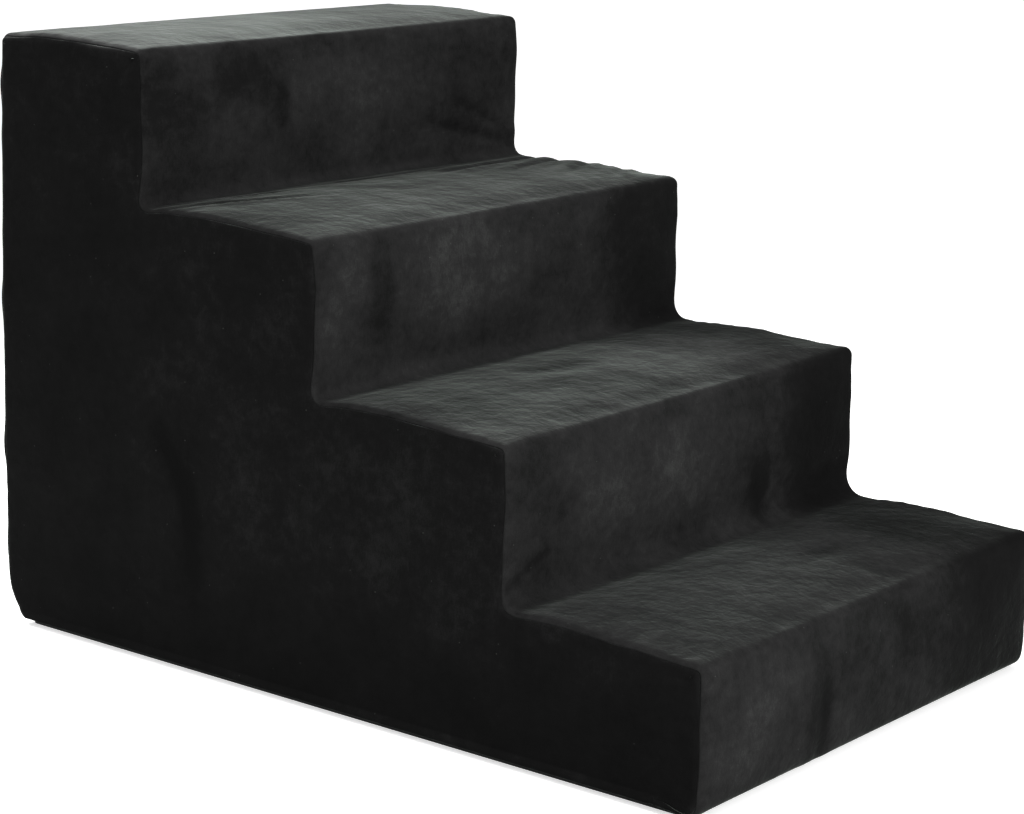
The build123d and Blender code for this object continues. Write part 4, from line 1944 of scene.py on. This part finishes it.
@dataclass(frozen=True)
class Plush:
    """Sheared polyester plush, brushed by hand: near black where the pile stands, greyer where it
    lies over, with painted light and shade laid into the same greys, a soft glow at a low angle and a few
    caught specks of lint."""

    deep: str = "#0e0e0e"
    middle: str = "#141414"
    laid: str = "#252525"
    bright: str = "#3b3c3b"
    lint: str = "#484947"
    glow: str = "#e9f5ec"
    glow_weight: float = 0.30
    glow_roughness: float = 0.24
    # Real pile is 0.3 mm between tufts, drawn coarser so that it shows
    tuft: float = 0.9 * MM
    streak: tuple[float, float] = (1.6 * MM, 4.2 * MM)
    crush: float = 9.5 * MM
    brush: float = 48 * MM
    lint_spacing: float = 13 * MM
    lint_size: float = 0.3 * MM

    def material(self) -> bpy.types.Material:
        """Builds the plush.

        Returns:
            The material.
        """
        material, tree = new_material("sheared_polyester_plush")
        cloth = add_node(tree, "ShaderNodeUVMap", {"uv_map": "cloth"}).outputs[0]
        nap_and_painted_light = add_node(tree, "ShaderNodeAttribute", {"attribute_name": "nap_and_painted_light"}).outputs["Fac"]
        tip = add_node(tree, "ShaderNodeAttribute", {"attribute_name": "tip"}).outputs["Fac"]

        def noise(
            size: float, detail: float, warp: float, vector: bpy.types.NodeSocket
        ) -> bpy.types.NodeSocket:
            """Noise whose grains have a real size."""
            settings = {"Scale": 1 / size, "Detail": detail, "Roughness": 0.55, "Distortion": warp}
            return add_node(tree, "ShaderNodeTexNoise", settings, {"Vector": vector}).outputs[0]

        squeeze = (self.streak[1] / self.streak[0], 1.0, 1.0)
        settings = {"operation": "MULTIPLY", 1: squeeze}
        streaked = add_node(tree, "ShaderNodeVectorMath", settings, {0: cloth}).outputs[0]
        tuft = noise(self.tuft, 2, 0.0, cloth)
        streak = noise(self.streak[1], 2, 0.6, streaked)
        crush = noise(self.crush, 3, 0.3, cloth)
        brush = noise(self.brush, 1, 0.0, cloth)
        # Random pile tone plus the cover's tone attribute, which carries painted light and shade as well as
        # the pile's lie
        tone = weighted_sum(tree, [(tuft, 0.22), (streak, 0.16), (crush, 0.24), (brush, 0.24), (nap_and_painted_light, 1.0)])
        ramp = add_node(tree, "ShaderNodeValToRGB", {}, {0: tone})
        stops = ramp.color_ramp.elements
        stops[0].position, stops[0].color = 0.21, linear(self.deep)
        stops[1].position, stops[1].color = 0.81, linear(self.bright)
        for place, shade in ((0.41, self.middle), (0.61, self.laid)):
            stop = stops.new(place)
            stop.color = linear(shade)
        spread = {"Scale": 1 / self.lint_spacing}
        specks = add_node(tree, "ShaderNodeTexVoronoi", spread, {"Vector": object_places(tree)}).outputs[0]
        size = self.lint_size / self.lint_spacing
        speck = ranged(tree, specks, (size, 1.8 * size), (0.8, 0.0))
        colour = blend(tree, speck, ramp.outputs[0], self.lint)
        rough = ranged(tree, tone, (0.3, 0.7), (1.0, 0.85))
        height = weighted_sum(tree, [(tuft, 0.05), (streak, 0.06), (crush, 0.7), (brush, 2.2), (tip, 1.0)])
        bump = bumped(tree, height, 1.0, MM)
        finish_surface(
            tree,
            {
                "Specular IOR Level": 0.03,
                "Sheen Weight": self.glow_weight,
                "Sheen Roughness": self.glow_roughness,
                "Sheen Tint": linear(self.glow),
            },
            {"Base Color": colour, "Roughness": rough, "Normal": bump},
        )
        return material


@dataclass(frozen=True)
class Foam:
    """Flexible polyurethane foam, cut by a hot wire: matt, pale, with open cells."""

    face: str = "#d8d3bd"
    pit: str = "#a79f83"
    cell: float = 1.4 * MM

    def material(self) -> bpy.types.Material:
        """Builds the foam.

        Returns:
            The material.
        """
        material, tree = new_material("polyurethane_foam")
        place = object_places(tree)
        cells = add_node(tree, "ShaderNodeTexVoronoi", {"Scale": 1 / self.cell}, {"Vector": place}).outputs[0]
        drift = add_node(tree, "ShaderNodeTexNoise", {"Scale": 1 / (40 * MM)}, {"Vector": place}).outputs[0]
        tone = weighted_sum(tree, [(cells, 0.9), (drift, 0.3)])
        ramp = add_node(tree, "ShaderNodeValToRGB", {}, {0: tone})
        stops = ramp.color_ramp.elements
        stops[0].position, stops[0].color = 0.15, linear(self.pit)
        stops[1].position, stops[1].color = 0.6, linear(self.face)
        bump = bumped(tree, cells, 0.8, 0.5 * MM)
        plain = {"Roughness": 0.95, "Specular IOR Level": 0.2}
        finish_surface(tree, plain, {"Base Color": ramp.outputs[0], "Normal": bump})
        return material


@dataclass(frozen=True)
class GripCloth:
    """Plain-woven polyester backing: dark grey with a fine thread grid."""

    thread: str = "#2a2b2c"
    gap: str = "#131314"
    # Real threads are 0.35 mm apart, drawn coarser so that they show
    spacing: float = 0.9 * MM

    def material(self) -> bpy.types.Material:
        """Builds the backing.

        Returns:
            The material.
        """
        material, tree = new_material("woven_polyester_backing")
        place = object_places(tree)
        waves = []
        for direction in ("X", "Y"):
            settings = {"bands_direction": direction, "Distortion": 0.6}
            settings["Scale"] = 1 / self.spacing / math.tau * 2
            waves.append(add_node(tree, "ShaderNodeTexWave", settings, {"Vector": place}).outputs["Fac"])
        crossed = dict(enumerate(waves))
        weave = add_node(tree, "ShaderNodeMath", {"operation": "MULTIPLY"}, crossed).outputs[0]
        colour = blend(tree, weave, self.gap, self.thread)
        bump = bumped(tree, weave, 0.7, 0.2 * MM)
        finish_surface(tree, {"Roughness": 0.8}, {"Base Color": colour, "Normal": bump})
        return material


@dataclass(frozen=True)
class GripRubber:
    """Screen-printed PVC dots: dark, satin and slightly uneven."""

    face: str = "#1d1e20"
    worn: str = "#333437"

    def material(self) -> bpy.types.Material:
        """Builds the dots' rubber.

        Returns:
            The material.
        """
        material, tree = new_material("printed_pvc_dots")
        place = object_places(tree)
        grain = {"Scale": 1 / (3 * MM), "Detail": 3}
        drift = add_node(tree, "ShaderNodeTexNoise", grain, {"Vector": place}).outputs[0]
        colour = blend(tree, drift, self.face, self.worn)
        rough = ranged(tree, drift, (0.2, 0.8), (0.38, 0.6))
        finish_surface(tree, {}, {"Base Color": colour, "Roughness": rough})
        return material


@dataclass(frozen=True)
class WovenTape:
    """Zip tape, woven from polyester in a herringbone: black with fine lengthwise ribs."""

    rib: str = "#2c2d2d"
    gap: str = "#0e0e0e"
    # Real ribs are 0.5 mm apart
    rib_step: float = 0.9 * MM

    def material(self) -> bpy.types.Material:
        """Builds the tape.

        Returns:
            The material.
        """
        material, tree = new_material("woven_polyester_tape")
        cloth = add_node(tree, "ShaderNodeUVMap", {"uv_map": "cloth"}).outputs[0]
        scale = 1 / self.rib_step / math.tau * 2
        settings = {"bands_direction": "Y", "Scale": scale}
        ribs = add_node(tree, "ShaderNodeTexWave", settings, {"Vector": cloth}).outputs["Fac"]
        slant = {"bands_direction": "DIAGONAL", "Scale": scale, "Distortion": 0.5}
        twill = add_node(tree, "ShaderNodeTexWave", slant, {"Vector": cloth}).outputs["Fac"]
        weave = weighted_sum(tree, [(ribs, 0.6), (twill, 0.4)])
        colour = blend(tree, weave, self.gap, self.rib)
        bump = bumped(tree, weave, 0.8, 0.15 * MM)
        finish_surface(tree, {"Roughness": 0.7}, {"Base Color": colour, "Normal": bump})
        return material


@dataclass(frozen=True)
class NylonCoil:
    """Drawn nylon wire of the coils: black and smooth, so that each turn catches a small light."""

    face: str = "#171818"
    rubbed: str = "#3d3f40"

    def material(self) -> bpy.types.Material:
        """Builds the nylon.

        Returns:
            The material.
        """
        material, tree = new_material("drawn_nylon_wire")
        place = object_places(tree)
        grain = {"Scale": 1 / (9 * MM), "Detail": 3}
        drift = add_node(tree, "ShaderNodeTexNoise", grain, {"Vector": place}).outputs[0]
        colour = blend(tree, drift, self.face, self.rubbed)
        rough = ranged(tree, drift, (0.2, 0.8), (0.26, 0.5))
        finish_surface(tree, {"IOR": 1.53}, {"Base Color": colour, "Roughness": rough})
        return material


@dataclass(frozen=True)
class BlackNickel:
    """Die-cast zinc with black nickel plating: dark, rubbed brighter in places."""

    plate: str = "#4a4a4c"
    rubbed: str = "#8b8a88"

    def material(self) -> bpy.types.Material:
        """Builds the metal of slider, pull and stops.

        Returns:
            The material.
        """
        material, tree = new_material("black_nickel_zinc")
        place = object_places(tree)
        grain = {"Scale": 1 / (4 * MM), "Detail": 5, "Roughness": 0.65}
        wear = add_node(tree, "ShaderNodeTexNoise", grain, {"Vector": place}).outputs[0]
        share = ranged(tree, wear, (0.45, 0.75), (0.0, 1.0))
        colour = blend(tree, share, self.plate, self.rubbed)
        rough = ranged(tree, wear, (0.2, 0.8), (0.24, 0.42))
        bump = bumped(tree, wear, 0.25, 0.05 * MM)
        finish_surface(tree, {"Metallic": 1.0}, {"Base Color": colour, "Roughness": rough, "Normal": bump})
        return material


# Studio


@dataclass
class Studio:
    """White sweep of floor, soft light from above and behind, and the photograph's camera."""

    floor_half: float = 9.0
    camera_place: tuple[float, float, float] = (-1.5428, -1.2146, 0.6261)
    camera_turn: tuple[float, float, float] = (77.287, -1.256, -51.468)
    focal_pixels: float = 2707.4
    image_width: int = 1024
    sensor: float = 36.0
    world_level: float = 0.6
    floor_lift: float = 0.6

    def build(self) -> None:
        """Makes floor, world, lamps and camera."""
        self._floor()
        self._world()
        self._lamp("overhead_softbox", (-0.30, -0.10, 1.40), (-0.08, -0.06, 0.2), 0.6, 3.5, 110)
        self._lamp("rear_softbox", (0.10, 1.25, 1.05), (-0.10, 0.25, 0.46), 0.6, 19.0, 120)
        self._lamp("front_fill", (-0.35, -1.9, 0.50), (-0.08, -0.1, 0.20), 0.5, 2.8, 60)
        self._camera()
        bpy.context.scene.view_settings.view_transform = "Standard"

    def _floor(self) -> None:
        """Pale floor that keeps a soft shadow."""
        half = self.floor_half
        corners = np.array([[-half, -half, 0], [half, -half, 0], [half, half, 0], [-half, half, 0]])
        floor = make_piece("studio_floor", corners, [[0, 1, 2, 3]])
        material, tree = new_material("matt_white_floor")
        ray = add_node(tree, "ShaderNodeLightPath").outputs["Is Camera Ray"]
        lift = weighted_sum(tree, [(ray, self.floor_lift)])
        white = {"Base Color": linear("#f1f1f1"), "Roughness": 0.9, "Specular IOR Level": 0.0}
        white["Emission Color"] = (1.0, 1.0, 1.0, 1.0)
        finish_surface(tree, white, {"Emission Strength": lift})
        floor.data.materials.append(material)

    def _world(self) -> None:
        """Even light all round, plain white to the camera and in reflections."""
        world = bpy.data.worlds.new("studio")
        world.use_nodes = True
        tree = world.node_tree
        tree.nodes.clear()
        path = add_node(tree, "ShaderNodeLightPath").outputs
        seen = path["Is Camera Ray"]
        for ray in ("Is Glossy Ray", "Is Transmission Ray"):
            either = {0: seen, 1: path[ray]}
            seen = add_node(tree, "ShaderNodeMath", {"operation": "MAXIMUM"}, either).outputs[0]
        level = ranged(tree, seen, (0.0, 1.0), (self.world_level, 1.0))
        white = add_node(tree, "ShaderNodeBackground", {"Color": (1, 1, 1, 1)}, {"Strength": level})
        add_node(tree, "ShaderNodeOutputWorld", {}, {"Surface": white.outputs[0]})
        bpy.context.scene.world = world

    def _lamp(self, name: str, place: tuple, aim: tuple, size: float, power: float, spread: float) -> None:
        """Square soft light aimed at a point, its spread in degrees as a grid in front narrows it.

        Args:
            name: Name of the lamp.
            place: Where it hangs.
            aim: Point that it faces.
            size: Side of its square in metres.
            power: Power in watts.
            spread: Spread in degrees.
        """
        light = bpy.data.lights.new(name, "AREA")
        light.size = size
        light.spread = math.radians(spread)
        light.energy = power
        lamp = bpy.data.objects.new(name, light)
        lamp.location = place
        lamp.rotation_euler = (Vector(aim) - Vector(place)).to_track_quat("-Z", "Y").to_euler()
        bpy.context.scene.collection.objects.link(lamp)

    def _camera(self) -> None:
        """Camera that gives the photograph's view."""
        lens = bpy.data.cameras.new("photo_view")
        lens.sensor_width = self.sensor
        lens.lens = self.sensor * self.focal_pixels / self.image_width
        lens.clip_start = 0.05
        camera = bpy.data.objects.new("photo_view", lens)
        camera.location = self.camera_place
        camera.rotation_euler = [math.radians(turn) for turn in self.camera_turn]
        bpy.context.scene.collection.objects.link(camera)
        bpy.context.scene.camera = camera


def declare_cover(panels: list[bpy.types.Object]) -> None:
    """Hides the frame's parts that the panels replace.

    Args:
        panels: Strip, back, left and right panel.
    """
    strip, back, left, right = panels
    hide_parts("step_strip")
    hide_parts("back_panel")
    for panel, node in ((left, "left_side_panel"), (right, "right_side_panel")):
        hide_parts(node)


def main() -> None:
    """Builds the stairs and the studio round them."""
    logging.basicConfig(level=logging.INFO, format="%(message)s")
    sizes = StairSizes()
    outline = Outline(sizes)
    bag = CoverBag(sizes, outline)
    bag.points = sizes.settled(bag.points)
    bag.wander()
    bag.swell()
    plush = Plush().material()
    panels = Cover(sizes, outline, bag).build(plush)
    FoamCore(sizes, outline).build(Foam().material())
    base = Base(sizes).build(GripCloth().material(), GripRubber().material())
    declare_cover(panels)
    CoilZip(ZipRoute()).build(WovenTape().material(), NylonCoil().material(), BlackNickel().material())
    Studio().build()


if __name__ == "__main__":
    main()
